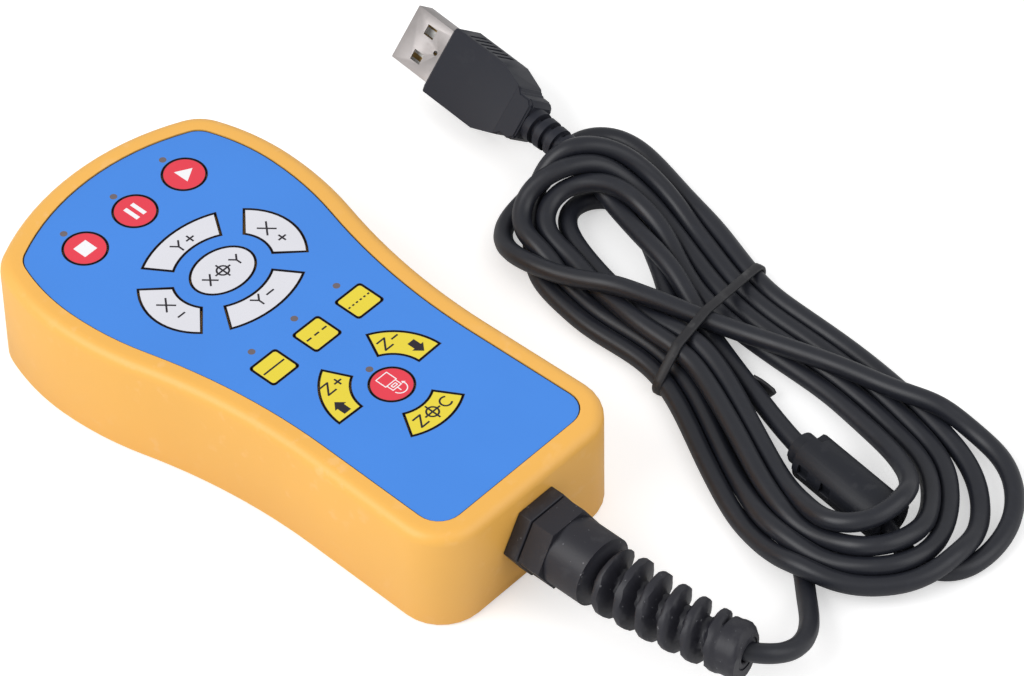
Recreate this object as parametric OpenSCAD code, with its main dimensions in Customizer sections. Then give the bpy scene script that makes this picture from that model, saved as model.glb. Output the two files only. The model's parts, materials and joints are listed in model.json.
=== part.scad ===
// Membrane-keypad pendant controller with cable gland, coiled lead and plug.
// Millimetres, +Z up. Origin: centre of the underside. +Y points to the head.

/* [Housing] */
// Height of the housing rim above the resting face
body_h = 24.7; // [22:0.1:32]
// Width of the printed panel at its widest point
panel_w = 55.1; // [48:0.1:66]
// Width of the printed panel at its waist
waist_w = 39.8; // [34:0.1:46]
// Length of the printed panel
panel_l = 112.8; // [100:0.2:130]
// Width of the plain rim around the panel
rim_w = 4.6; // [3:0.1:7]
// Radius of the rounded top edge
edge_r = 2.5; // [1:0.1:3.5]
// Side wall thickness
wall = 2.6; // [2:0.1:4]
// Thickness of the deck under the keypad
deck_t = 2.0; // [1.5:0.1:3]

/* [Keypad] */
// Thickness of the printed overlay
overlay_t = 0.5; // [0.3:0.05:0.8]
// Thickness of the spacer sheet under the overlay
spacer_t = 0.7; // [0.4:0.05:1.2]
// Radius of the round key pockets
round_r = 4.5; // [4:0.1:5.5]
// Spacing of the three round keys at the head
round_pitch = 13.5; // [11:0.1:16]
// Gap between a key plate and its pocket
key_gap = 0.3; // [0.2:0.05:0.5]
// Thickness of a key plate
key_t = 0.8; // [0.5:0.05:1.0]
// Radius of the indicator light windows
led_r = 0.75; // [0.5:0.05:1.2]

/* [Board] */
// Circuit board thickness
board_t = 1.6; // [1:0.1:2]
// Drop from the crown to the board top
board_drop = 7.5; // [6.9:0.1:8.5]
// Height of a key switch body
switch_h = 3.5; // [3:0.1:4]
// Side of a key switch body
switch_w = 6.0; // [5:0.1:7]
// Radius of a switch plunger
plunger_r = 1.7; // [1.2:0.05:1.8]

/* [Cable gland] */
// Height of the gland axis
gland_z = 11.6; // [9:0.1:14]
// Hexagon size across flats
gland_af = 15.5; // [14:0.1:19]
// Length of the cap from the flange to the guard
cap_l = 13.6; // [10:0.2:18]
// Outer radius of the cap
cap_r = 7.2; // [6.6:0.1:8.4]
// Turns of the spiral guard
guard_turns = 5.0; // [4:0.5:8]
// Pitch of the spiral guard
guard_pitch = 4.8; // [3.6:0.1:6.5]
// Bend radius of the guard
guard_bend_r = 156; // [100:2:500]
// Radius of the end collar
collar_r = 5.5; // [4.4:0.1:6.5]
// Length of the end collar
collar_l = 7.3; // [5:0.2:10]

/* [Lead] */
// Cable diameter
cord_d = 3.9; // [3:0.1:5]
// Thickness of the coiled bundle
hank_h = 8.6; // [8:0.1:15]
// Width of the tie band
tie_w = 1.7; // [1:0.1:3]
// Thickness of the tie band
tie_t = 1.1; // [0.6:0.1:1.8]
// Outer radius of the ferrite bead
bead_r = 5.0; // [4.5:0.1:8]
// Length of the ferrite bead
bead_l = 22.0; // [18:0.2:32]

/* [Plug] */
// Plug handle width
plug_w = 14.8; // [14:0.1:18]
// Plug handle thickness
plug_t = 8.0; // [7:0.1:10]
// Plug handle length up to the strain relief
plug_l = 25.4; // [20:0.2:32]
// Strain relief length
relief_l = 11.0; // [8:0.2:16]
// Length of the bare metal shell
shell_l = 11.0; // [11:0.1:19]
// Metal shell width
shell_w = 12.0; // [11.8:0.1:12.2]
// Metal shell height
shell_h = 4.5; // [4.4:0.1:4.6]

/* [Hidden] */
$fn = 48;
eps = 0.01;
grow = 1;

// Panel outline: a chain of tangent arcs on each side, worked out below.
board_z = body_h - board_drop;
neck_l = 3;
neck_r = 3.4;
case_wall = 1.2;
latch_w = 2.6;
latch_at = 2.8 - bead_l / 2;
half_l = panel_l / 2;
half_w = panel_w / 2;
half_waist = waist_w / 2;
wide_y = 33.4;
waist_y = -22.3;
top_r = 50.7;
shoulder_r = 44;
hip_r = 67.6;
corner_r = 5.1;
flare = 1.5;
swing = half_w - half_waist;
drop = wide_y - waist_y;
waist_r = (swing * swing + drop * drop) / (2 * swing) - hip_r;
top_c = [0, half_l - top_r];
shoulder_c = [half_w - shoulder_r, wide_y];
hip_c = [half_w - hip_r, wide_y];
waist_c = [half_waist + waist_r, waist_y];
corner_c = meet(top_c, top_r - corner_r, shoulder_c, shoulder_r - corner_r);
join_a = atan2(waist_c.y - hip_c.y, waist_c.x - hip_c.x);
shoulder_a = atan2(corner_c.y - shoulder_c.y, corner_c.x - shoulder_c.x);
top_a = atan2(corner_c.y - top_c.y, corner_c.x - top_c.x);
flare_p = waist_c + waist_r * [cos(180 + flare), sin(180 + flare)];
tail_cy = corner_r - half_l;
tail_reach = (-corner_r - (tail_cy - flare_p.y) * sin(flare)) / cos(flare);
tail_c = [flare_p.x + tail_reach, tail_cy];

// Levels of the keypad stack.
panel_z = body_h - 0.25;
deck_z = panel_z - overlay_t - spacer_t;
deck_under = deck_z - deck_t;
key_z = panel_z - key_t;
cover_t = 2.4;
end_y = -half_l - rim_w;

// Key pad layout.
pad_y = 19.9;
row_y = 43.7;
step_y = -5.1;
step_x = 11.6;
dial_y = -24.6;
pad_in = [10.7, 8.5];
pad_out = [18.2, 14.4];
pad_mid = [7.3, 5.5];
dial_in = 7.7;
dial_out = 13.9;

KEYS = ["stop", "pause", "start", "centre", "y_plus", "y_minus", "x_minus",
    "x_plus", "step_solid", "step_dash", "step_dot", "spindle", "z_plus",
    "z_minus", "z_centre"];
pad_rx = (pad_in.x + pad_out.x) / 2;
pad_ry = (pad_in.y + pad_out.y) / 2;
dial_r = (dial_in + dial_out) / 2;
dial_a = 32.5;
dial_x = dial_r * cos(dial_a);
dial_up = dial_r * sin(dial_a);
SPOTS = [[-round_pitch, row_y], [0, row_y], [round_pitch, row_y], [0, pad_y],
    [0, pad_y + pad_ry], [0, pad_y - pad_ry], [-pad_rx, pad_y],
    [pad_rx, pad_y], [-step_x, step_y], [0, step_y], [step_x, step_y],
    [0, dial_y], [-dial_x, dial_y + dial_up], [dial_x, dial_y + dial_up],
    [0, dial_y - dial_r]];
row_led = row_y + round_r + 1.4;
step_led = step_y + 6;
dial_led = dial_y + round_r + 1.3;
LIGHTS = [[-round_pitch, row_led], [0, row_led], [round_pitch, row_led],
    [-step_x, step_led], [0, step_led], [step_x, step_led], [0, dial_led]];

// Gland stations along -Y, measured from the end wall.
flange_t = 3.2;
sheet_fit = 0.15;
sill = 1.6;
cover_fit = 0.2;
cap_end = flange_t + cap_l;
guard_start = 18.8;
guard_l = guard_turns * guard_pitch;
guard_end = guard_start + guard_l;
root_r = 3.3;
mouth_flare = 0.9;
thread_r = 6.25;
bore_r = 2.25;
fin_r0 = 7.0;
fin_r1 = 5.9;
cord_r = cord_d / 2;
entry_in = -50;

// Route of the lead between the guard and the coiled bundle.
lead_turn = (guard_l + collar_l) / guard_bend_r * 180 / PI;
guard_tip = [guard_bend_r * (1 - cos(lead_turn)),
    end_y - guard_start - guard_bend_r * sin(lead_turn), gland_z];
LEAD = [[3.7, -110.7, 11.5], [6.8, -113.1, 10.9], [11.1, -114, 9.8],
    [15.7, -112.9, 8.2], [20, -110.5, 6.5], [23.7, -107.4, 5.0],
    [28, -103, 3.6], [32.2, -98.3, 2.5], [35.2, -94, 2.1],
    [37.2, -90, 2.1]];

// Outline of the coiled bundle and the two openings in it.
HANK = [[80, 8], [88, 7.5], [93, 2.5], [94.5, -5], [92, -17], [86, -32],
    [81.5, -44], [80, -56], [79.5, -71], [80, -86], [79, -101], [76, -113],
    [70, -122], [62, -126], [53, -126], [45, -122], [37, -114], [31, -104],
    [29, -94], [30.5, -82], [35.5, -69], [42, -56], [46, -47], [48, -37],
    [48.5, -25], [50.5, -12], [52.5, -3], [56, 2], [62.5, 4.5], [71, 6.5]];
UPPER_GAP = [[74, -10], [77, -13.5], [73.5, -20], [70, -30], [66, -39],
    [63.5, -37], [62, -30], [62.5, -22], [67, -13.5]];
LOWER_GAP = [[60, -54], [65, -61], [65, -76], [64.5, -89.5], [62, -98],
    [58, -103.5], [52, -104], [50, -92], [49.5, -80], [53, -72],
    [56.5, -64]];

tie_c = [64.4, -46.1];
tie_turn = 9;
tie_half = 18.4;
bead_c = [50.9, -94.9];
bead_turn = -7;

// Plug pose: end of the strain relief, heading, rise and roll.
plug_at = [79.8, 2.5, 8.5];
plug_head = -5;
plug_rise = 0;
plug_roll = -49;

// Upper crossing point of two circles.
function meet(p, rp, q, rq) =
    let (d = norm(q - p),
        a = (rp * rp - rq * rq + d * d) / (2 * d),
        h = sqrt(rp * rp - a * a),
        u = (q - p) / d,
        m = p + a * u,
        s = m + h * [-u.y, u.x],
        t = m - h * [-u.y, u.x])
    s.x > t.x ? s : t;

// Points on an arc, both ends included.
function arc(c, r, a0, a1, n) =
    [for (k = [0 : n]) let (a = a0 + (a1 - a0) * k / n)
        [c.x + r * cos(a), c.y + r * sin(a)]];

// Point and its mirror image across the middle.
function both(p) = [[-p.x, p.y], p];

// Points on an ellipse arc about a centre.
function oval(c, r, a0, a1, n) =
    [for (k = [0 : n]) let (a = a0 + (a1 - a0) * k / n)
        [c.x + r[0] * cos(a), c.y + r[1] * sin(a)]];

// Right half of the panel outline moved outwards by d, tail to head.
function half_outline(d) = concat(
    arc(tail_c, corner_r + d, -90, flare, 7),
    arc(waist_c, waist_r - d, 180 + flare, 180 + join_a, 12),
    [for (k = [1 : 6]) let (a = join_a * (1 - k / 6))
        hip_c + (hip_r + d) * [cos(a), sin(a)]],
    [for (k = [1 : 8]) let (a = shoulder_a * k / 8)
        shoulder_c + (shoulder_r + d) * [cos(a), sin(a)]],
    [for (k = [1 : 6]) let (a = shoulder_a + (top_a - shoulder_a) * k / 6)
        corner_c + (corner_r + d) * [cos(a), sin(a)]],
    [for (k = [1 : 8]) let (a = top_a + (90 - top_a) * k / 8)
        top_c + (top_r + d) * [cos(a), sin(a)]]);

// Screw bosses and board posts, at set distances inside the outline.
boss_in = 4.2;
post_in = 6;
tail_in = 1.7;
tail_boss = 0.58 * half_outline(-tail_in)[7] + 0.42 * half_outline(-tail_in)[8];
BOSSES = concat(both(half_outline(-boss_in)[30]), both(tail_boss));
POSTS = concat(both(half_outline(-post_in)[23]),
    both(half_outline(-boss_in)[12]));

// Closed outline, anticlockwise.
function outline(d) =
    let (h = half_outline(d), n = len(h))
    concat(h, [for (k = [n - 2 : -1 : 0]) [-h[k].x, h[k].y]]);

// Heights and insets round the section of the shell wall: inside the lip,
// down the cavity, round the foot, up the outside and over the crown.
function skin_levels() = concat(
    [[deck_under, rim_w - sheet_fit], [deck_under, wall], [cover_t, wall],
        [cover_t, sill], [0, sill]],
    [[0, 1.0], [0.3, 0.3], [1.0, 0]],
    [for (a = [0 : 15 : 90]) [body_h - edge_r + edge_r * sin(a),
        edge_r * (1 - cos(a))]],
    [[body_h, rim_w - sheet_fit], [deck_z, rim_w - sheet_fit]]);

// Index faces of closed rings that follow each other round to the first.
function loop_faces(rings, n) = [for (j = [0 : rings - 1], k = [0 : n - 1])
    let (a = j * n + k,
        b = j * n + (k + 1) % n,
        c = ((j + 1) % rings) * n + k,
        d = ((j + 1) % rings) * n + (k + 1) % n)
    each [[a, c, d], [a, d, b]]];

// Index faces of a stack of closed rings.
function ring_faces(rings, n) = concat(
    [[for (k = [0 : n - 1]) k]],
    [for (j = [0 : rings - 2], k = [0 : n - 1])
        let (a = j * n + k,
            b = j * n + (k + 1) % n)
        each [[a, a + n, b + n], [a, b + n, b]]],
    [[for (k = [n - 1 : -1 : 0]) (rings - 1) * n + k]]);

// Unit vector.
function unit(v) = v / norm(v);

// Rings of a round tube swept along a route.
function tube_rings(p, r, n) =
    [for (k = [0 : len(p) - 1])
        let (a = p[max(k - 1, 0)],
            b = p[min(k + 1, len(p) - 1)],
            t = k == 0 ? [0, -1, 0] : unit(b - a),
            u = unit(cross(t, [0, 0, 1])),
            v = cross(u, t))
        for (i = [0 : n - 1]) let (q = 360 * i / n)
            p[k] + r * cos(q) * u + r * sin(q) * v];

// Place of a station s on the bent gland axis, radius r and angle q.
function guard_point(s, r, q) =
    let (a = max(s - guard_start, 0) / guard_bend_r * 180 / PI,
        y0 = end_y - min(s, guard_start),
        c = [guard_bend_r * (1 - cos(a)), y0 - guard_bend_r * sin(a), gland_z],
        side = [cos(a), sin(a), 0])
    c + r * cos(q) * side + r * sin(q) * [0, 0, 1];

module solid_from(rings_pts, rings, n) {
    polyhedron(points = rings_pts, faces = ring_faces(rings, n),
        convexity = 8);
}

module round_rect(w, h, r) {
    square([w - 2 * r, h], center = true);
    square([w, h - 2 * r], center = true);
    for (sx = [-1, 1], sy = [-1, 1]) {
        translate([sx * (w / 2 - r), sy * (h / 2 - r)])
            circle(r = r, $fn = 24);
    }
}

// Annular key between two ovals; ends at angles given for both ovals.
module oval_key(mid, outer_half, inner_half, g) {
    turn = g / pad_out[1] * 180 / PI;
    turn_in = g / pad_in[1] * 180 / PI;
    centre = [0, pad_y];
    far = [pad_out[0] - g, pad_out[1] - g];
    near = [pad_in[0] + g, pad_in[1] + g];
    polygon(concat(
        oval(centre, far, mid - outer_half + turn, mid + outer_half - turn, 14),
        oval(centre, near, mid + inner_half - turn_in,
            mid - inner_half + turn_in, 14)));
}

// Annular key about the spindle key.
module dial_key(a0, a1, g) {
    far_turn = g / dial_out * 180 / PI;
    near_turn = g / dial_in * 180 / PI;
    polygon(concat(
        arc([0, dial_y], dial_out - g, a0 + far_turn, a1 - far_turn, 14),
        arc([0, dial_y], dial_in + g, a1 - near_turn, a0 + near_turn, 10)));
}

// Flat outline of key number k, shrunk by g.
module key_shape(k, g) {
    if (k < 3 || k == 11) {
        translate(SPOTS[k]) circle(r = round_r - g);
    }
    if (k == 3) {
        polygon(oval([0, pad_y], [pad_mid[0] - g, pad_mid[1] - g], 0, 352, 44));
    }
    if (k == 4) oval_key(90, 33.9, 37.9, g);
    if (k == 5) oval_key(270, 33.9, 37.9, g);
    if (k == 6) oval_key(180, 37.3, 27.2, g);
    if (k == 7) oval_key(0, 37.3, 27.2, g);
    if (k >= 8 && k <= 10) {
        translate(SPOTS[k]) round_rect(7.1 - 2 * g, 6.6 - 2 * g, 0.7);
    }
    if (k == 12) dial_key(116, 178.5, g);
    if (k == 13) dial_key(1.5, 64, g);
    if (k == 14) dial_key(238.5, 301.5, g);
}

module key_plate(k) {
    translate([0, 0, key_z]) linear_extrude(key_t) key_shape(k, key_gap);
}

module plunger(k) {
    shoulder_z = board_z + switch_h - 1.2;
    translate([SPOTS[k].x, SPOTS[k].y, shoulder_z])
        cylinder(r = plunger_r, h = key_z - shoulder_z, $fn = 32);
}

module upper_housing() {
    lv = skin_levels();
    n = len(outline(0));
    color([0.97, 0.72, 0.3])
    difference() {
        union() {
            polyhedron(points = [for (l = lv) for (p = outline(rim_w - l[1]))
                [p.x, p.y, l[0]]], faces = loop_faces(len(lv), n),
                convexity = 8);
            translate([0, 0, deck_under]) linear_extrude(deck_t)
                polygon(outline(sheet_fit));
            for (b = BOSSES) {
                translate([b.x, b.y, cover_t])
                    cylinder(r = 3.2, h = deck_under - cover_t + 1);
            }
            for (p = POSTS) {
                translate([p.x, p.y, board_z])
                    cylinder(r = 2.2, h = deck_under - board_z + 1);
            }
        }
        for (b = BOSSES) {
            translate([b.x, b.y, -1]) cylinder(r = 1.25, h = 13, $fn = 24);
        }
        for (p = POSTS) {
            translate([p.x, p.y, board_z - 1])
                cylinder(r = 0.9, h = 5, $fn = 24);
        }
        for (s = SPOTS) {
            translate([s.x, s.y, deck_under - 1])
                cylinder(r = plunger_r + 0.3, h = 6, $fn = 32);
        }
        for (l = LIGHTS) {
            translate([l.x, l.y, deck_under - 1])
                cylinder(r = led_r, h = 6, $fn = 24);
        }
        translate([0, end_y - 1, gland_z]) rotate([-90, 0, 0])
            cylinder(r = thread_r + 0.05, h = wall + 2);
    }
}

module rear_cover() {
    color([0.93, 0.68, 0.28])
    difference() {
        linear_extrude(cover_t) polygon(outline(rim_w - sill - cover_fit));
        for (b = BOSSES) {
            translate([b.x, b.y, -1]) cylinder(r = 1.6, h = 5, $fn = 24);
            translate([b.x, b.y, -eps]) cylinder(r = 2.8, h = 1.5, $fn = 32);
        }
    }
}

module cover_screws() {
    color([0.35, 0.35, 0.37])
    for (b = BOSSES) {
        translate([b.x, b.y, 0.3])
        difference() {
            union() {
                cylinder(r = 2.55, h = 1.19, $fn = 32);
                cylinder(r = 1.25, h = 10, $fn = 24);
            }
            for (t = [0, 90]) {
                rotate([0, 0, t]) translate([-1.6, -0.3, -1])
                    cube([3.2, 0.6, 1.7]);
            }
        }
    }
}

module sheet_holes(g) {
    for (k = [0 : len(KEYS) - 1]) {
        key_shape(k, g);
    }
    for (l = LIGHTS) {
        translate(l) circle(r = led_r, $fn = 24);
    }
}

module graphic_overlay() {
    color([0.31, 0.56, 0.92])
    translate([0, 0, panel_z - overlay_t]) linear_extrude(overlay_t)
        difference() {
            polygon(outline(0));
            sheet_holes(0);
        }
}

module spacer_sheet() {
    color([0.12, 0.12, 0.13])
    translate([0, 0, deck_z]) linear_extrude(spacer_t)
        difference() {
            polygon(outline(-0.3));
            sheet_holes(0);
        }
}

module light_pipes() {
    color([0.85, 0.85, 0.82])
    for (l = LIGHTS) {
        translate([l.x, l.y, board_z + 1]) {
            cylinder(r = led_r, h = panel_z - board_z - 1, $fn = 24);
            translate([0, 0, 1.2])
                cylinder(r = 1.4, h = deck_under - board_z - 2.2, $fn = 24);
        }
    }
}

module indicator_leds() {
    color([0.9, 0.86, 0.7])
    for (l = LIGHTS) {
        translate([l.x - 1, l.y - 0.6, board_z]) cube([2, 1.2, 0.9]);
    }
}

module switch_bodies() {
    color([0.15, 0.15, 0.16])
    for (s = SPOTS) {
        translate([s.x, s.y, board_z])
        difference() {
            translate([-switch_w / 2, -switch_w / 2, 0])
                cube([switch_w, switch_w, switch_h]);
            translate([0, 0, switch_h - 1.6])
                cylinder(r = plunger_r + 0.3, h = 3, $fn = 32);
        }
    }
}

module circuit_board() {
    color([0.1, 0.38, 0.2])
    translate([0, 0, board_z - board_t]) linear_extrude(board_t)
    difference() {
        intersection() {
            polygon(outline(-1.5));
            translate([-50, -47.5]) square([100, 110]);
        }
        for (b = BOSSES) {
            translate(b) circle(r = 3.8);
        }
        for (p = POSTS) {
            translate(p) circle(r = 1.25, $fn = 24);
        }
    }
}

module board_components() {
    low = board_z - board_t;
    color([0.2, 0.2, 0.22]) {
        translate([-5, -4, low - 1.4]) cube([10, 10, 1.4]);
        translate([-14, 8, low - 1.75]) cube([5, 6, 1.75]);
        translate([7, 13, low - 1.2]) cube([8, 4, 1.2]);
        translate([8, -16, low - 2]) cube([5.5, 3, 2]);
        for (x = [-12 : 4 : 12]) {
            translate([x, 22, low - 0.6]) cube([1.6, 0.8, 0.6]);
            translate([x, -22, low - 0.6]) cube([1.6, 0.8, 0.6]);
        }
    }
}

module board_screws() {
    color([0.75, 0.75, 0.76])
    for (p = POSTS) {
        translate([p.x, p.y, board_z - board_t]) {
            translate([0, 0, -1.6])
            difference() {
                cylinder(r = 2.2, h = 1.6, $fn = 32);
                translate([-1.4, -0.3, -1]) cube([2.8, 0.6, 1.7]);
                translate([-0.3, -1.4, -1]) cube([0.6, 2.8, 1.7]);
            }
            cylinder(r = 0.9, h = board_t + 3, $fn = 24);
        }
    }
}

module cable_header() {
    low = board_z - board_t;
    color([0.9, 0.88, 0.82])
    difference() {
        translate([-5, -44, low - 6]) cube([10, 7, 6]);
        translate([-4.2, -43.2, low - 6.1]) cube([8.4, 5.4, 1.1]);
    }
}

module inner_leads() {
    color([0.75, 0.16, 0.14])
    for (x = [-0.7, 0.7], z = [-0.65, 0.65]) {
        translate([x, entry_in, gland_z + z]) rotate([-90, 0, 0])
            cylinder(r = 0.55, h = -44 - entry_in, $fn = 16);
    }
}

// Cylinder along -Y starting at station s from the end wall.
module along(s, l, r) {
    translate([0, end_y - s, gland_z]) rotate([90, 0, 0])
        cylinder(r = r, h = l);
}

// Hexagonal prism along -Y, flat on top.
module hex_along(s, l, af) {
    translate([0, end_y - s, gland_z]) rotate([90, 0, 0])
        cylinder(r = af / 2 / cos(30), h = l, $fn = 6);
}

module gland_body() {
    color([0.2, 0.2, 0.22])
    difference() {
        union() {
            hex_along(0, flange_t, gland_af);
            along(-8.5, 8.6, thread_r);
            along(flange_t - 0.1, 6.6, 5.9);
        }
        along(-10, 26, 2.8);
        along(flange_t + 1.5, 8, 4.1);
    }
}

module gland_locknut() {
    color([0.2, 0.2, 0.22])
    difference() {
        hex_along(-wall - 3.8, 3.8, 15);
        along(-wall - 5, 7, thread_r);
    }
}

module gland_seal() {
    color([0.1, 0.1, 0.1])
    difference() {
        along(flange_t + 1.5, 5.4, 4.0);
        along(flange_t, 10, cord_r);
    }
}

// Radius of the guard at station s and angle q: root, spiral fin, collar.
function guard_radius(s, q) =
    let (f = (s - guard_start) / guard_l,
        tip = fin_r0 + (fin_r1 - fin_r0) * f,
        turn = (s - guard_start) / guard_pitch - q / 360 + 0.08,
        u = abs(turn - round(turn)),
        rise = min(1, max(0, (0.37 - u) / 0.2)),
        fade = min(1, max(0, (s - guard_start) / 0.8)),
        fin = root_r + (tip - root_r) * rise * fade,
        rear = guard_end + collar_l - s,
        collar = s > guard_end + 1.2 * (1 + sin(q)) ?
            collar_r - max(0, 1.3 - rear) : 0)
    max(fin, collar);

// Places its children at the guard's far end, axis along local -Y.
module at_guard(s) {
    a = (s - guard_start) / guard_bend_r * 180 / PI;
    translate([guard_bend_r * (1 - cos(a)),
        end_y - guard_start - guard_bend_r * sin(a), gland_z])
        rotate([0, 0, a]) children();
}

// Triangles of an open tube skin of rings with n points, from index base.
function skin_faces(base, rings, n) =
    [for (j = [0 : rings - 2], k = [0 : n - 1])
        let (a = base + j * n + k, b = base + j * n + (k + 1) % n)
        each [[a, a + n, b + n], [a, b + n, b]]];

// Triangles between two rings of n points that start at a and at b.
function band_faces(a, b, n) =
    [for (k = [0 : n - 1]) let (m = (k + 1) % n)
        each [[a + k, b + m, b + k], [a + k, a + m, b + m]]];

// Spiral guard and collar: outer skin and bore in one closed tube.
module guard() {
    n = 28;
    first = guard_start - 0.9;
    last = guard_end + collar_l;
    rings = 1 + round((last - first) / guard_pitch * 9);
    bores = 9;
    outer = [for (j = [0 : rings - 1], k = [0 : n - 1])
        let (s = first + (last - first) * j / (rings - 1), q = 360 * k / n)
        guard_point(s, guard_radius(s, q), q)];
    inner = [for (j = [bores - 1 : -1 : 0], k = [0 : n - 1])
        let (s = first + (last - first) * j / (bores - 1))
        guard_point(s, bore_r + 0.25 + mouth_flare * max(0, 1 - (last - s) / 4),
            360 * k / n)];
    m = rings * n;
    polyhedron(points = concat(outer, inner),
        faces = concat(skin_faces(0, rings, n), skin_faces(m, bores, n),
            band_faces(m - n, m, n), band_faces(m + (bores - 1) * n, 0, n)),
        convexity = 12);
}

module gland_cap() {
    color([0.2, 0.2, 0.22]) {
        difference() {
            union() {
                hex_along(flange_t + 0.3, 5.0, gland_af - 0.6);
                along(flange_t + 0.3, cap_l - 0.3, cap_r);
                translate([0, end_y - cap_end + eps, gland_z])
                    rotate([90, 0, 0])
                    cylinder(r1 = cap_r - 0.3, r2 = 4.4, h = 1.4);
                along(cap_end, guard_start - cap_end - 0.3, root_r + 0.7);
            }
            along(flange_t, 7.2, 6.1);
            along(flange_t, 8.6, 4.2);
            along(flange_t, guard_start, bore_r);
        }
        guard();
    }
}

module cord_entry() {
    color([0.13, 0.13, 0.14])
    translate([0, entry_in, gland_z]) rotate([90, 0, 0])
        cylinder(r = cord_r, h = entry_in - end_y + guard_start);
}

module cord_lead() {
    sides = 12;
    inside = [for (s = [guard_start : 5.5 : guard_end])
        guard_point(s, 0, 0)];
    route = concat(inside, [guard_point(guard_end + collar_l - 3, 0, 0)], LEAD);
    color([0.13, 0.13, 0.14])
        solid_from(tube_rings(route, cord_r, sides), len(route), sides);
}

// Band volume around the bundle.
module band(extra) {
    h = hank_h + 2 * tie_t;
    w = 2 * tie_half;
    translate([tie_c.x, tie_c.y, 0]) rotate([0, 0, tie_turn])
    rotate([90, 0, 0]) translate([0, 0, -tie_w / 2 - extra])
    linear_extrude(tie_w + 2 * extra)
    translate([0, hank_h / 2 + tie_t / 2])
        difference() {
            round_rect(w, h - tie_t, 4);
            round_rect(w - 2 * tie_t, h - 3 * tie_t, 3);
        }
}

module cord_hank() {
    color([0.13, 0.13, 0.14])
    difference() {
        linear_extrude(hank_h) difference() {
            polygon(HANK);
            polygon(UPPER_GAP);
            polygon(LOWER_GAP);
        }
        band(0);
        bead_axis() cylinder(r = cord_r, h = bead_l + 10, center = true);
        bead_axis() translate([0, 0, -neck_l / 2])
            cube([2 * bead_r + 0.6, 60, bead_l + neck_l + 0.6], center = true);
        plug_frame() translate([0, 3, 0]) rotate([90, 0, 0])
            cylinder(r = 3.9, h = 4);
    }
}

// Ferrite bead axis: local Z runs along the lead.
module bead_axis() {
    translate([bead_c.x, bead_c.y, bead_r + 0.3]) rotate([0, 0, bead_turn])
        rotate([90, 0, 0]) children();
}

module cord_bead() {
    color([0.13, 0.13, 0.14])
    bead_axis() cylinder(r = cord_r, h = bead_l + 10, center = true);
}

module cord_tie() {
    color([0.08, 0.08, 0.09])
    band(0);
}

module bead_half() {
    difference() {
        union() {
            cylinder(r = bead_r, h = bead_l, center = true);
            translate([0, 0, -bead_l / 2 - neck_l])
                cylinder(r = neck_r, h = neck_l + 1);
        }
        cylinder(r = bead_r - case_wall, h = bead_l - 3, center = true);
        cylinder(r = cord_r + 0.3, h = bead_l + 2 * neck_l + 2, center = true);
    }
}

module ferrite_case_lower() {
    color([0.16, 0.16, 0.18])
    bead_axis() intersection() {
        bead_half();
        translate([-20, -40, -20]) cube([40, 40, 40]);
    }
}

module ferrite_case_upper() {
    color([0.16, 0.16, 0.18])
    bead_axis() {
        difference() {
            intersection() {
                bead_half();
                translate([-20, 0, -20]) cube([40, 40, 40]);
            }
            for (z = [latch_at, latch_at + 6.2]) {
                translate([-bead_r - 1, -1, z - latch_w / 2])
                    cube([1.9, 3.2, latch_w]);
            }
            translate([0.8, bead_r - 1.1, -bead_l / 2 - 1]) cube([2.2, 3, 3]);
        }
    }
}

module ferrite_core() {
    color([0.3, 0.3, 0.31])
    bead_axis() difference() {
        cylinder(r = bead_r - case_wall, h = bead_l - 3, center = true);
        cylinder(r = cord_r + 0.3, h = bead_l, center = true);
    }
}

// Plug pose: local +Y runs to the tip, origin at the relief's end.
module plug_frame() {
    translate(plug_at) rotate([0, 0, plug_head]) rotate([plug_rise, 0, 0])
        rotate([0, plug_roll, 0]) children();
}

// Flat outline of the plug handle, rear to front.
module handle_plan() {
    w = plug_w / 2;
    r = relief_l;
    polygon([[-3.6, r], [3.6, r], [4.6, r + 1.2], [4.6, r + 3.6],
        [5.4, r + 4.4], [w - 0.4, r + 9], [w, r + 10.2],
        [w, r + plug_l - 1], [w - 1, r + plug_l], [1 - w, r + plug_l],
        [-w, r + plug_l - 1], [-w, r + 10.2], [0.4 - w, r + 9],
        [-5.4, r + 4.4], [-4.6, r + 3.6], [-4.6, r + 1.2]]);
}

// Side outline of the plug handle.
module handle_side() {
    h = plug_t / 2;
    r = relief_l;
    polygon([[r, -2.9], [r + 3.8, -3.1], [r + 5, -h], [r + plug_l - 0.8, -h],
        [r + plug_l, 0.8 - h], [r + plug_l, h - 0.8], [r + plug_l - 0.8, h],
        [r + 5, h], [r + 3.8, 3.1], [r, 2.9]]);
}

module usb_overmould() {
    front = relief_l + plug_l;
    color([0.2, 0.2, 0.22])
    plug_frame() difference() {
        union() {
            intersection() {
                translate([0, 0, -10]) linear_extrude(20) handle_plan();
                rotate([90, 0, 90]) translate([0, 0, -10])
                    linear_extrude(20) handle_side();
            }
            translate([0, relief_l + eps, 0]) rotate([90, 0, 0])
                cylinder(r1 = 3.5, r2 = 3.0, h = relief_l + eps);
        }
        for (k = [0 : 5], sx = [-1, 1]) {
            translate([sx * plug_w / 2 - 0.35, front - 4.2 - 1.6 * k, -2.8])
                cube([0.7, 0.7, 5.6]);
        }
        for (k = [0 : 2], sx = [-1, 1]) {
            translate([sx * 3.2 - 1.4, 2 + 3 * k, -5]) cube([2.8, 1.1, 10]);
        }
        translate([-shell_w / 2, front - 6, -shell_h / 2])
            cube([shell_w, 7, shell_h]);
        translate([0, 3 + eps, 0]) rotate([90, 0, 0])
            cylinder(r = 1.5, h = 4, $fn = 24);
    }
}

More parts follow.
